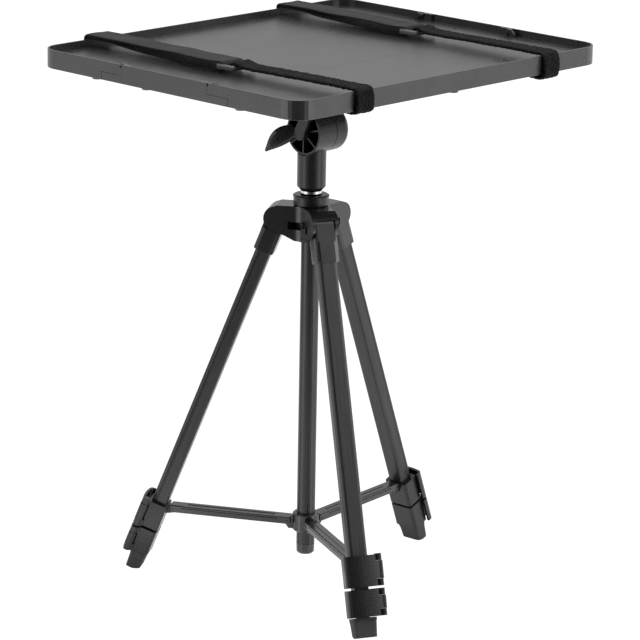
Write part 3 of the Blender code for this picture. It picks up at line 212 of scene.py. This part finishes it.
def make_fleece_group():
    """Loop tape: a matted pile of short fibres, with lint here and there."""
    group, start, end = new_group("loop_pile", [("Scale", 1100.0)], ["Height", "Tone", "Lint"])
    pile = object_noise(group, scale=start.outputs["Scale"], detail=5.0, roughness=0.75)
    clumps = object_noise(group, scale=260.0, detail=3.0, roughness=0.6)
    height = plus_share(group, math_node(group, "MULTIPLY", pile, 0.7), clumps, 0.6)
    group.links.new(height, end.inputs["Height"])
    group.links.new(spread(group, height, 0.40, 0.95), end.inputs["Tone"])
    lint = object_noise(group, scale=800.0, detail=6.0, roughness=0.8)
    group.links.new(spread(group, lint, 0.66, 0.72), end.inputs["Lint"])
    return group


def make_weave_group():
    """Woven tape on the piece's own map: ribs across, threads along."""
    group, start, end = new_group("woven_ribs", [("Ribs", 900.0), ("Threads", 1500.0)], ["Height", "Tone"])
    coords = group.nodes.new("ShaderNodeTexCoord")
    split = group.nodes.new("ShaderNodeSeparateXYZ")
    group.links.new(coords.outputs["UV"], split.inputs["Vector"])
    across = math_node(group, "MULTIPLY", split.outputs["X"], start.outputs["Threads"])
    along = math_node(group, "MULTIPLY", split.outputs["Y"], start.outputs["Ribs"])
    rows = math_node(group, "FLOOR", math_node(group, "DIVIDE", along, pi))
    shifted = plus_share(group, across, rows, pi / 2)
    threads = math_node(group, "ABSOLUTE", math_node(group, "SINE", shifted))
    ribs = math_node(group, "ABSOLUTE", math_node(group, "SINE", along))
    height = math_node(group, "MULTIPLY", threads, ribs)
    fuzz = object_noise(group, scale=2200.0, detail=3.0)
    height = plus_share(group, height, fuzz, 0.5)
    group.links.new(height, end.inputs["Height"])
    group.links.new(spread(group, height, 0.2, 1.3), end.inputs["Tone"])
    return group


GRAIN = make_grain_group()
LINES = make_lines_group()
FLEECE = make_fleece_group()
WEAVE = make_weave_group()


# Materials
def new_material(name, roughness):
    material = bpy.data.materials.new(name)
    material.use_nodes = True
    shader = material.node_tree.nodes["Principled BSDF"]
    shader.inputs["Roughness"].default_value = roughness
    return material, material.node_tree, shader


def place_group(tree, group, **values):
    node = tree.nodes.new("ShaderNodeGroup")
    node.node_tree = group
    for label, value in values.items():
        node.inputs[label].default_value = value
    return node


def colour_between(tree, factor, first, second):
    """A colour that goes from the first to the second as the factor goes from 0 to 1."""
    mix = tree.nodes.new("ShaderNodeMix")
    mix.data_type = "RGBA"
    mix.inputs["A"].default_value = (*first, 1.0)
    if isinstance(second, bpy.types.NodeSocket):
        tree.links.new(second, mix.inputs["B"])
    else:
        mix.inputs["B"].default_value = (*second, 1.0)
    tree.links.new(factor, mix.inputs["Factor"])
    return mix.outputs["Result"]


def paint_over(tree, factor, under, over):
    """The colour under, with another laid over it where the factor is 1."""
    mix = tree.nodes.new("ShaderNodeMix")
    mix.data_type = "RGBA"
    mix.inputs["B"].default_value = (*over, 1.0)
    tree.links.new(under, mix.inputs["A"])
    tree.links.new(factor, mix.inputs["Factor"])
    return mix.outputs["Result"]


def add_bump(tree, shader, height, distance, strength):
    """Relief from a height, with its depth in metres."""
    bump = tree.nodes.new("ShaderNodeBump")
    bump.inputs["Distance"].default_value = distance
    bump.inputs["Strength"].default_value = strength
    tree.links.new(height, bump.inputs["Height"])
    tree.links.new(bump.outputs["Normal"], shader.inputs["Normal"])


def moulded_plastic(name, dark, light, roughness, scale, depth, scuffs, shine):
    """Moulded plastic with a fine grain, an uneven tone and faint scuffs."""
    material, tree, shader = new_material(name, roughness)
    shader.inputs["Specular IOR Level"].default_value = shine
    grain = place_group(tree, GRAIN, Scale=scale, Scuffs=scuffs)
    base = colour_between(tree, grain.outputs["Tone"], dark, light)
    scuffed = tuple(min(1.0, c * 1.5 + 0.02) for c in light)
    tree.links.new(paint_over(tree, grain.outputs["Scuff"], base, scuffed), shader.inputs["Base Color"])
    tree.links.new(spread(tree, grain.outputs["Tone"], 0.0, 1.0, roughness - 0.05, roughness + 0.06),
                   shader.inputs["Roughness"])
    add_bump(tree, shader, grain.outputs["Height"], distance=depth, strength=0.5)
    return material


def drawn_metal(name, dark, light, roughness, metallic, turn=0.0, tilt=0.0):
    """Anodised tube with faint lines along its length."""
    material, tree, shader = new_material(name, roughness)
    lines = place_group(tree, LINES, Turn=turn, Tilt=tilt)
    tree.links.new(colour_between(tree, lines.outputs["Tone"], dark, light), shader.inputs["Base Color"])
    tree.links.new(spread(tree, lines.outputs["Tone"], 0.0, 1.0, roughness - 0.04, roughness + 0.06),
                   shader.inputs["Roughness"])
    shader.inputs["Metallic"].default_value = metallic
    add_bump(tree, shader, lines.outputs["Height"], distance=0.00002, strength=0.5)
    return material


def painted_highlight_metal(name, piece, dark, bright, roughness, low, high):
    """Polished metal with a painted highlight: bright in one band round the piece, with the band as shares of its
    height.
    """
    material, tree, shader = new_material(name, roughness)
    heights = [vert.co.z for vert in piece.data.vertices]
    bottom, tall = min(heights), max(heights) - min(heights)
    coords = tree.nodes.new("ShaderNodeTexCoord")
    split = tree.nodes.new("ShaderNodeSeparateXYZ")
    tree.links.new(coords.outputs["Object"], split.inputs["Vector"])
    blur = 0.04 * tall
    rising = spread(tree, split.outputs["Z"], bottom + low * tall - blur, bottom + low * tall)
    falling = spread(tree, split.outputs["Z"], bottom + high * tall, bottom + high * tall + blur, 1.0, 0.0)
    # The band is a painted highlight, and the metal is dark above and below it.
    band = math_node(tree, "MULTIPLY", rising, falling)
    tree.links.new(colour_between(tree, band, dark, bright), shader.inputs["Base Color"])
    shader.inputs["Metallic"].default_value = 1.0
    return material


def loop_tape(name, dark, light, lint):
    """Fuzzy loop tape, with a soft sheen."""
    material, tree, shader = new_material(name, 0.95)
    shader.inputs["Specular IOR Level"].default_value = 0.12
    pile = place_group(tree, FLEECE, Scale=480.0)
    base = colour_between(tree, pile.outputs["Tone"], dark, light)
    tree.links.new(paint_over(tree, pile.outputs["Lint"], base, lint), shader.inputs["Base Color"])
    shader.inputs["Sheen Weight"].default_value = 0.04
    shader.inputs["Sheen Roughness"].default_value = 0.5
    add_bump(tree, shader, pile.outputs["Height"], distance=0.0009, strength=1.0)
    return material


def woven_tape(name, dark, light):
    """Smooth woven tape."""
    material, tree, shader = new_material(name, 0.75)
    shader.inputs["Specular IOR Level"].default_value = 0.25
    weave = place_group(tree, WEAVE)
    tree.links.new(colour_between(tree, weave.outputs["Tone"], dark, light), shader.inputs["Base Color"])
    shader.inputs["Sheen Weight"].default_value = 0.05
    shader.inputs["Sheen Roughness"].default_value = 0.4
    add_bump(tree, shader, weave.outputs["Height"], distance=0.0002, strength=0.8)
    return material


# Depths of grain are in metres, and its scales in cells for each metre
TRAY_PLASTIC = moulded_plastic("tray_plastic", dark=(0.006, 0.006, 0.0062), light=(0.040, 0.040, 0.041),
                               roughness=0.29, scale=700.0, depth=0.00014, scuffs=0.10, shine=0.85)
HEAD_PLASTIC = moulded_plastic("head_plastic", dark=(0.013, 0.013, 0.0135), light=(0.019, 0.019, 0.0195),
                               roughness=0.27, scale=1100.0, depth=0.000003, scuffs=0.06, shine=0.42)
CASTING_PLASTIC = moulded_plastic("casting_plastic", dark=(0.010, 0.010, 0.0105), light=(0.015, 0.015, 0.0155),
                                  roughness=0.23, scale=1000.0, depth=0.000006, scuffs=0.10, shine=0.75)
LOCK_PLASTIC = moulded_plastic("lock_plastic", dark=(0.009, 0.009, 0.0095), light=(0.014, 0.014, 0.0145),
                               roughness=0.27, scale=1300.0, depth=0.000003, scuffs=0.06, shine=0.45)
FOOT_RUBBER = moulded_plastic("foot_rubber", dark=(0.024, 0.024, 0.025), light=(0.046, 0.046, 0.047),
                              roughness=0.62, scale=600.0, depth=0.00012, scuffs=0.5, shine=0.5)
BUCKLE_PLASTIC = moulded_plastic("buckle_plastic", dark=(0.06, 0.06, 0.061), light=(0.11, 0.11, 0.112),
                                 roughness=0.30, scale=1500.0, depth=0.00003, scuffs=0.3, shine=0.8)
COLUMN_METAL = drawn_metal("column_metal", dark=(0.040, 0.040, 0.041), light=(0.068, 0.068, 0.069),
                           roughness=0.34, metallic=0.8)
PIN_METAL = drawn_metal("pin_metal", dark=(0.22, 0.22, 0.225), light=(0.32, 0.32, 0.325),
                        roughness=0.30, metallic=1.0)
# The ring's highlights are painted: its middle band is bright and the rest dark.
RING_PAINTED_HIGHLIGHT_METAL = painted_highlight_metal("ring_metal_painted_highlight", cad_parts["column_ring"], dark=(0.03, 0.03, 0.03),
                          bright=(0.62, 0.62, 0.63), roughness=0.10, low=0.30, high=0.72)
LOOP_TAPE = loop_tape("loop_tape", dark=(0.001, 0.001, 0.0011), light=(0.026, 0.026, 0.0265),
                      lint=(0.080, 0.080, 0.081))
WOVEN_TAPE = woven_tape("woven_tape", dark=(0.008, 0.008, 0.0082), light=(0.024, 0.024, 0.0245))
# A darker copy of the woven tape for the doubled strap's lower layer: painted shade between and under the layers.
WOVEN_TAPE_PAINTED_SHADE = woven_tape("woven_tape_painted_shade", dark=(0.002, 0.002, 0.002), light=(0.006, 0.006, 0.0062))

# The lines on a leg's tubes follow the leg, which leans out from upright
FIRST_LEG_TURN = 3.34
LEG_LEAN = radians(21.1)
LEG_TURNS = [radians(FIRST_LEG_TURN + 120.0 * i) for i in range(3)]
LEG_METALS = [drawn_metal(f"leg_metal_{i + 1}", dark=(0.040, 0.040, 0.041), light=(0.068, 0.068, 0.0695),
                          roughness=0.35, metallic=0.75, turn=-turn, tilt=LEG_LEAN)
              for i, turn in enumerate(LEG_TURNS)]


# Finishes for the frame's own nodes
def finish_node(name, material):
    """Put one material on all of a node's slots."""
    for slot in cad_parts[name].material_slots:
        slot.material = material


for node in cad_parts:
    finish_node(node, CASTING_PLASTIC)
for node in ("tray_middle", "tray_wing_front", "tray_wing_rear"):
    finish_node(node, TRAY_PLASTIC)
for node in ("pan_housing", "tilt_head", "tilt_lever", "column_collar", "tray_mount_block"):
    finish_node(node, HEAD_PLASTIC)
for node in ("column", "guide_tube"):
    finish_node(node, COLUMN_METAL)
finish_node("column_ring", RING_PAINTED_HIGHLIGHT_METAL)
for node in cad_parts:
    if "pin" in node or node == "tilt_axle":
        finish_node(node, PIN_METAL)
    if "lock" in node or "lever_upper" in node or "lever_lower" in node:
        finish_node(node, LOCK_PLASTIC)
    if node.endswith("foot"):
        finish_node(node, FOOT_RUBBER)
    for i, metal in enumerate(LEG_METALS):
        if node.startswith(f"leg_{i + 1}_tube"):
            finish_node(node, metal)


# Straps
def smooth_route(points):
    """Points at an even spacing along a smooth curve through the given points."""
    def between(a, b, c, d, t):
        return 0.5 * (2 * b + (c - a) * t + (2 * a - 5 * b + 4 * c - d) * t * t + (3 * b - a - 3 * c + d) * t ** 3)

    dense = []
    for i in range(len(points) - 1):
        before = points[max(i - 1, 0)]
        after = points[min(i + 2, len(points) - 1)]
        for k in range(CURVE_STEPS):
            t = k / CURVE_STEPS
            dense.append(tuple(between(before[n], points[i][n], points[i + 1][n], after[n], t) for n in (0, 1)))
    dense.append(points[-1])
    run = [0.0]
    for a, b in zip(dense, dense[1:]):
        run.append(run[-1] + hypot(b[0] - a[0], b[1] - a[1]))
    count = int(run[-1] / STEP)
    even, k = [], 0
    for i in range(count + 1):
        target = run[-1] * i / count
        while k < len(run) - 2 and run[k + 1] < target:
            k += 1
        share = (target - run[k]) / (run[k + 1] - run[k])
        even.append(tuple(dense[k][n] + (dense[k + 1][n] - dense[k][n]) * share for n in (0, 1)))
    return even, run[-1]


def rounded_section(wide, thick):
    """Points round a flat section with full round corners, the first one repeated at the end."""
    radius = thick * EDGE_ROUND
    points = []
    for side_x, side_z, start in ((1, -1, -90), (1, 1, 0), (-1, 1, 90), (-1, -1, 180)):
        for k in range(CORNER_STEPS + 1):
            angle = radians(start + 90 * k / CORNER_STEPS)
            points.append((side_x * (wide / 2 - radius) + radius * cos(angle),
                           side_z * (thick / 2 - radius) + radius * sin(angle)))
        if side_z == side_x:
            flat = wide / 2 - radius
            points += [(side_x * (flat - 2 * flat * k / FLAT_STEPS), side_z * thick / 2)
                       for k in range(1, FLAT_STEPS)]
    points.append(points[0])
    return points


def make_band(name, middle_x, route, wide, thick, ripple, sway, seed, slant, fuzz=0.0):
    """A tape that follows a y, z route, with rounded edges, soft ripples and a rough pile."""
    path, length = smooth_route(route)
    section = rounded_section(wide, thick)
    rows, columns = len(path) - 1, len(section) - 1
    nothing_selected()
    bpy.ops.mesh.primitive_grid_add(x_subdivisions=columns, y_subdivisions=rows, size=2.0, calc_uvs=True)
    band = bpy.context.object
    band.name = name
    mesh = band.data
    for loop in mesh.loops:
        co = mesh.vertices[loop.vertex_index].co
        mesh.uv_layers[0].data[loop.index].uv = ((co.x + 1) * (wide + thick), (co.y + 1) / 2 * length)
    for vert in mesh.vertices:
        column = round((vert.co.x + 1) / 2 * columns)
        i = round((vert.co.y + 1) / 2 * rows)
        before, after = path[max(i - 1, 0)], path[min(i + 1, rows)]
        run = hypot(after[0] - before[0], after[1] - before[1])
        normal = (-(after[1] - before[1]) / run, (after[0] - before[0]) / run)
        y, z = path[i]
        offset_x, offset_n = section[column]
        soft = noise.noise(Vector((offset_x * RIPPLE_ACROSS + seed, y * RIPPLE_ALONG, z * RIPPLE_ALONG))) * ripple
        edge = 1 + EDGE_SHARE * noise.noise(Vector((offset_x * EDGE_ACROSS + seed, i * EDGE_ALONG, 3.0)))
        drift = sway * noise.noise(Vector((seed, i * SWAY_ALONG, 7.0)))
        lift = offset_n + soft
        across = middle_x + slant * y + offset_x * edge + drift
        vert.co = (across, y + normal[0] * lift, z + normal[1] * lift)
    bpy.ops.object.mode_set(mode="EDIT")
    bpy.ops.mesh.select_all(action="SELECT")
    bpy.ops.mesh.remove_doubles(threshold=0.00001)
    bpy.ops.mesh.fill_holes(sides=0)
    bpy.ops.mesh.select_all(action="SELECT")
    bpy.ops.mesh.normals_make_consistent(inside=False)
    bpy.ops.object.mode_set(mode="OBJECT")
    finer = band.modifiers.new("finer", "SUBSURF")
    finer.levels = 1
    finer.render_levels = 1
    apply_all(band)
    if fuzz:
        normals = [Vector(v.normal) for v in band.data.vertices]
        for vert, normal in zip(band.data.vertices, normals):
            coarse = noise.noise(vert.co * FUZZ_COARSE) * FUZZ_SHARE
            fine = noise.noise(vert.co * FUZZ_FINE + Vector((seed, 0, 0))) * FUZZ_SHARE
            vert.co += normal * ((coarse + fine) * fuzz)
    only(band)
    bpy.ops.object.shade_smooth()
    return band


def dress(obj, material):
    """Give a modelled piece its material."""
    obj.data.materials.clear()
    obj.data.materials.append(material)


# A route is a list of y, z points along the middle of a tape's thickness. The small numbers in a route
# are what its bends measure, and they are taken from the nearest rim, bar or layer.
def over_rim(end, thick, slack, lift=0.0, sag=0.0):
    """The route over one long rim and back under it, with lift as room for another layer.

    Halfway down the rim the tape stands off by the slack, and under the rim it hangs by the sag.
    """
    top = RIM_TOP + TOP_GAP + thick / 2 + lift
    out = EDGE_Y + SIDE_GAP + thick / 2 + lift
    under = RIM_BOTTOM - SIDE_GAP - thick / 2 - lift - sag
    over = [(EDGE_Y - RETURN, top + 0.0001), (EDGE_Y - 0.0075, top + 0.0001), (out - 0.0040, top - 0.0001)]
    down = [(out - 0.0009, top - 0.0016), (out + 0.0004, top - 0.0048), (out + slack, (top + under) / 2 + 0.001),
            (out + slack * 0.8, under + 0.0058), (out - 0.0012, under + 0.0016)]
    back = [(out - 0.0046, under + 0.0002), (out - 0.0090, under), (EDGE_Y - RETURN, under + 0.0002)]
    return [(end * y, z) for y, z in over + down + back]


def under_route(bar_y, bar_low):
    """The woven tape's lower layer: round the ring's rear bar, slack in the well, and over the rear rim."""
    level = RIM_TOP + TOP_GAP
    round_bar = [(bar_y - 0.0060, bar_low + 0.0010), (bar_y - 0.0030, bar_low - WOVEN / 2 - 0.0002),
                 (bar_y + 0.0030, bar_low - WOVEN / 2 - 0.0003)]
    slack_run = [(bar_y + 0.0110, level - 0.0052), (bar_y + 0.0300, level - 0.0046), (0.070, level - 0.0044),
                 (0.105, level - 0.0034), (0.140, level - 0.0018), (0.168, level + WOVEN / 2 - 0.0002)]
    return round_bar + slack_run + over_rim(1, WOVEN, slack=0.0004)


def over_route(bar_y, bar_top):
    """The woven tape's upper layer: down round the ring's rear bar, and over the rear rim."""
    lift = WOVEN + SIDE_GAP
    level = RIM_TOP + TOP_GAP + WOVEN / 2 + lift
    round_bar = [(bar_y - 0.0062, bar_top - 0.0030), (bar_y - 0.0050, bar_top - 0.0004),
                 (bar_y - 0.0020, bar_top + WOVEN / 2 + 0.0003), (bar_y + 0.0040, bar_top + WOVEN / 2 + 0.0003)]
    run = [(bar_y + 0.0160, level - 0.0012), (0.040, level - 0.0011), (0.070, level - 0.0003),
           (0.110, level - 0.0006), (0.150, level + 0.0002)]
    return round_bar + run + over_rim(1, WOVEN, slack=0.0006, lift=lift)[:-1]


def front_route(bar_y, bar_top, sag):
    """The loop tape: down round the ring's front bar, and over the front rim."""
    level = RIM_TOP + TOP_GAP
    round_bar = [(bar_y + 0.0062, bar_top - 0.0026), (bar_y + 0.0046, bar_top + TAPE * 0.35),
                 (bar_y + 0.0010, bar_top + TAPE * 0.5 + 0.0004), (bar_y - 0.0040, bar_top + TAPE * 0.3)]
    run = [(bar_y - 0.0100, level + TAPE * 0.45), (bar_y - 0.0190, level + TAPE * 0.30),
           (-0.080, level + TAPE * 0.40), (-0.130, level + TAPE / 2)]
    return round_bar + run + over_rim(-1, TAPE, slack=0.0018, sag=sag)


def make_strap(word, middle_x, ring_y, slant, sag, seed):
    """Doubled woven tape from the ring to the rear rim, and loop tape from the ring to the front rim."""
    bar = RING_LONG / 2 - RING_BAR / 2
    rear_bar, front_bar = ring_y + bar, ring_y - bar
    bar_low, bar_top = RIM_TOP + RING_UP - RING_THICK / 2, RIM_TOP + RING_UP + RING_THICK / 2
    under = make_band(f"{word}_tape_rear_under", middle_x, under_route(rear_bar, bar_low), UNDER_WIDE, WOVEN,
                      ripple=0.0006, sway=0.0005, seed=seed, slant=slant)
    over = make_band(f"{word}_tape_rear_over", middle_x, over_route(rear_bar, bar_top), OVER_WIDE, WOVEN,
                     ripple=0.0009, sway=0.0008, seed=seed + 4, slant=slant)
    front = make_band(f"{word}_tape_front", middle_x, front_route(front_bar, bar_top, sag), LOOP_WIDE, TAPE,
                      ripple=0.0006, sway=0.0006, seed=seed + 9, slant=slant, fuzz=0.0011)
    # The lower layer takes the darker copy of the woven tape, as painted shade.
    for piece, material, wing, sign in ((under, WOVEN_TAPE_PAINTED_SHADE, "rear_wing", 1), (over, WOVEN_TAPE, "rear_wing", 1),
                                        (front, LOOP_TAPE, "front_wing", -1)):
        dress(piece, material)
        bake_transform(piece)
    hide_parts(f"strap_{word}_rear", f"strap_{word}_middle")
    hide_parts(f"strap_{word}_front")


def make_buckle(word, middle_x, ring_y, slant):
    """A rounded rectangular ring that the two tapes loop through."""
    nothing_selected()
    place = (middle_x + slant * ring_y, ring_y, RIM_TOP + RING_UP)
    bpy.ops.mesh.primitive_cube_add(size=1.0, location=place, scale=(RING_WIDE, RING_LONG, RING_THICK))
    ring = bpy.context.object
    ring.name = f"{word}_buckle_ring"
    bpy.ops.object.transform_apply(location=True, rotation=False, scale=True)
    bpy.ops.object.mode_set(mode="EDIT")
    bpy.ops.mesh.select_mode(type="FACE")
    bpy.ops.mesh.select_all(action="DESELECT")
    bpy.ops.object.mode_set(mode="OBJECT")
    for face in ring.data.polygons:
        face.select = abs(face.normal.z) > 0.9
    bpy.ops.object.mode_set(mode="EDIT")
    bpy.ops.mesh.inset(thickness=RING_BAR, depth=0.0, use_individual=True)
    bpy.ops.mesh.bridge_edge_loops()
    bpy.ops.mesh.select_all(action="SELECT")
    bpy.ops.mesh.normals_make_consistent(inside=False)
    bpy.ops.object.mode_set(mode="OBJECT")
    corner = ring.modifiers.new("corner", "BEVEL")
    corner.width = RING_ROUND
    corner.segments = 4
    corner.limit_method = "ANGLE"
    corner.angle_limit = SHARP_ANGLE
    apply_all(ring)
    bpy.ops.object.shade_smooth_by_angle(angle=SHARP_ANGLE)
    dress(ring, BUCKLE_PLASTIC)
    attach(ring, "tilting_table")
    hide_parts(f"buckle_{word}")


# Each strap's side, middle, ring's place, slant across the tray, sag under the front rim, and noise seed
STRAPS = (("left", -0.1565, -0.0165, -0.017, 0.0, 1.0),
          ("right", 0.1560, -0.0050, -0.004, 0.0022, 5.0))
for word, middle_x, ring_y, slant, sag, seed in STRAPS:
    make_strap(word, middle_x, ring_y, slant, sag, seed)
    make_buckle(word, middle_x, ring_y, slant)


# Floor, light and camera. A heading is 1 towards the rest view's camera, and -1 away from it.
FLOOR_SIZE = 24.0
FLOOR_WHITE, FLOOR_DARK = (0.86, 0.86, 0.86), (0.05, 0.05, 0.05)
DARK_FROM, DARK_FULL = 0.62, 0.93       # headings between which the floor goes dark
NEAR_FROM, NEAR_FULL = 0.5, 1.2         # distances from the middle over which it may
STRIP_RISE, STRIP_FALL = (0.28, 0.42), (0.50, 0.62)     # headings at the edges of the bright strips
FLOOR_GLOW, STRIP_GLOW = 0.42, 1.5
SKY_FROM, SKY_FULL = 0.35, 0.95         # headings between which the surroundings go dark
SKY_WHITE, SKY_DARK = 0.66, 0.05
BACKDROP = 1.1                          # what the camera sees behind the part, a little over white


def make_floor(towards_camera):
    """A white floor that reflections and bounced light meet, with a dark sector towards the camera.

    The camera and the lamps look through it, so legs that are drawn out below it still show.
    """
    nothing_selected()
    bpy.ops.mesh.primitive_plane_add(size=FLOOR_SIZE, location=(0.0, 0.0, 0.0))
    floor = bpy.context.object
    floor.name = "studio_floor"
    material, tree, shader = new_material("studio_floor", roughness=0.9)
    shader.inputs["Specular IOR Level"].default_value = 0.1
    coords = tree.nodes.new("ShaderNodeTexCoord")
    heading = tree.nodes.new("ShaderNodeVectorMath")
    heading.operation = "NORMALIZE"
    tree.links.new(coords.outputs["Object"], heading.inputs[0])
    facing = tree.nodes.new("ShaderNodeVectorMath")
    facing.operation = "DOT_PRODUCT"
    flat = Vector((towards_camera.x, towards_camera.y, 0.0)).normalized()
    facing.inputs[1].default_value = flat
    tree.links.new(heading.outputs["Vector"], facing.inputs[0])
    length = tree.nodes.new("ShaderNodeVectorMath")
    length.operation = "LENGTH"
    tree.links.new(coords.outputs["Object"], length.inputs[0])
    dark = math_node(tree, "MULTIPLY", spread(tree, facing.outputs["Value"], DARK_FROM, DARK_FULL),
                     spread(tree, length.outputs["Value"], NEAR_FROM, NEAR_FULL))
    tree.links.new(colour_between(tree, dark, FLOOR_WHITE, FLOOR_DARK), shader.inputs["Base Color"])
    rays = tree.nodes.new("ShaderNodeLightPath")
    through = math_node(tree, "MAXIMUM", rays.outputs["Is Camera Ray"], rays.outputs["Is Shadow Ray"])
    tree.links.new(math_node(tree, "SUBTRACT", 1.0, through), shader.inputs["Alpha"])
    mirrored = math_node(tree, "MAXIMUM", rays.outputs["Is Glossy Ray"], rays.outputs["Is Transmission Ray"])
    rising = spread(tree, facing.outputs["Value"], *STRIP_RISE)
    falling = spread(tree, facing.outputs["Value"], *STRIP_FALL, 1.0, 0.0)
    strips = math_node(tree, "MULTIPLY", math_node(tree, "MULTIPLY", rising, falling), STRIP_GLOW)
    lit = math_node(tree, "MULTIPLY", math_node(tree, "SUBTRACT", 1.0, dark), FLOOR_GLOW)
    glow = math_node(tree, "MULTIPLY", mirrored, math_node(tree, "ADD", lit, strips))
    shader.inputs["Emission Color"].default_value = (1.0, 1.0, 1.0, 1.0)
    tree.links.new(glow, shader.inputs["Emission Strength"])
    floor.data.materials.append(material)


def area_light(name, place, aim_height, size, power):
    """A softbox that points at the part's upright axis."""
    light = bpy.data.lights.new(name, "AREA")
    light.shape = "RECTANGLE"
    light.size, light.size_y = size
    light.energy = power
    lamp = bpy.data.objects.new(name, light)
    bpy.context.scene.collection.objects.link(lamp)
    lamp.location = place
    lamp.rotation_euler = (Vector((0.0, 0.0, aim_height)) - Vector(place)).to_track_quat("-Z", "Y").to_euler()


def make_world(towards_camera):
    """Even light from all round, darker round the camera, and a white backdrop for the camera alone."""
    world = bpy.data.worlds.new("studio")
    bpy.context.scene.world = world
    world.use_nodes = True
    tree = world.node_tree
    background = tree.nodes["Background"]
    coords = tree.nodes.new("ShaderNodeTexCoord")
    facing = tree.nodes.new("ShaderNodeVectorMath")
    facing.operation = "DOT_PRODUCT"
    facing.inputs[1].default_value = towards_camera
    tree.links.new(coords.outputs["Generated"], facing.inputs[0])
    light = spread(tree, facing.outputs["Value"], SKY_FROM, SKY_FULL, SKY_WHITE, SKY_DARK)
    rays = tree.nodes.new("ShaderNodeLightPath")
    white = math_node(tree, "MULTIPLY", rays.outputs["Is Camera Ray"], BACKDROP)
    strength = math_node(tree, "MAXIMUM", light, white)
    tree.links.new(strength, background.inputs["Strength"])
    background.inputs["Color"].default_value = (1.0, 1.0, 1.0, 1.0)


CAMERA_PLACE = (-2.7473, -2.6289, 1.3653)
YAW, PAN, TILT, ROLL = 46.262, 0.034, 15.355, 1.015     # degrees
LENS, SENSOR = 189.0, 36.0                              # millimetres
FAR_LIMIT = 60.0                                        # metres


def make_camera():
    """The photo's camera, which was solved from the part's edges."""
    yaw, pan, tilt, roll = (radians(angle) for angle in (YAW, PAN, TILT, ROLL))
    right = Vector((cos(pan), -sin(pan), 0.0))
    ahead = Vector((sin(pan) * cos(tilt), cos(pan) * cos(tilt), -sin(tilt)))
    up = right.cross(ahead)
    right, up = cos(roll) * right + sin(roll) * up, -sin(roll) * right + cos(roll) * up
    turn = Matrix.Rotation(-yaw, 3, "Z")
    right, up, ahead = turn @ right, turn @ up, turn @ ahead
    data = bpy.data.cameras.new("camera")
    data.lens = LENS
    data.sensor_width = SENSOR
    data.clip_end = FAR_LIMIT
    camera = bpy.data.objects.new("camera", data)
    bpy.context.scene.collection.objects.link(camera)
    pose = Matrix((right, up, -ahead)).transposed().to_4x4()
    pose.translation = CAMERA_PLACE
    camera.matrix_world = pose
    bpy.context.scene.camera = camera


make_camera()
towards = (Vector(CAMERA_PLACE) - Vector((0.0, 0.0, 0.45))).normalized()
make_floor(towards)
make_world(towards)
area_light("top_softbox", place=(0.3, 0.3, 2.6), aim_height=0.5, size=(2.0, 2.0), power=23.0)
area_light("right_softbox", place=(0.44, -2.12, 1.45), aim_height=0.42, size=(0.9, 1.5), power=15.0)
area_light("left_softbox", place=(-2.20, 0.35, 1.35), aim_height=0.42, size=(0.7, 1.5), power=9.0)
area_light("far_softbox", place=(1.9, -0.9, 1.1), aim_height=0.4, size=(0.8, 1.6), power=7.0)

bpy.context.scene.view_settings.view_transform = "Standard"
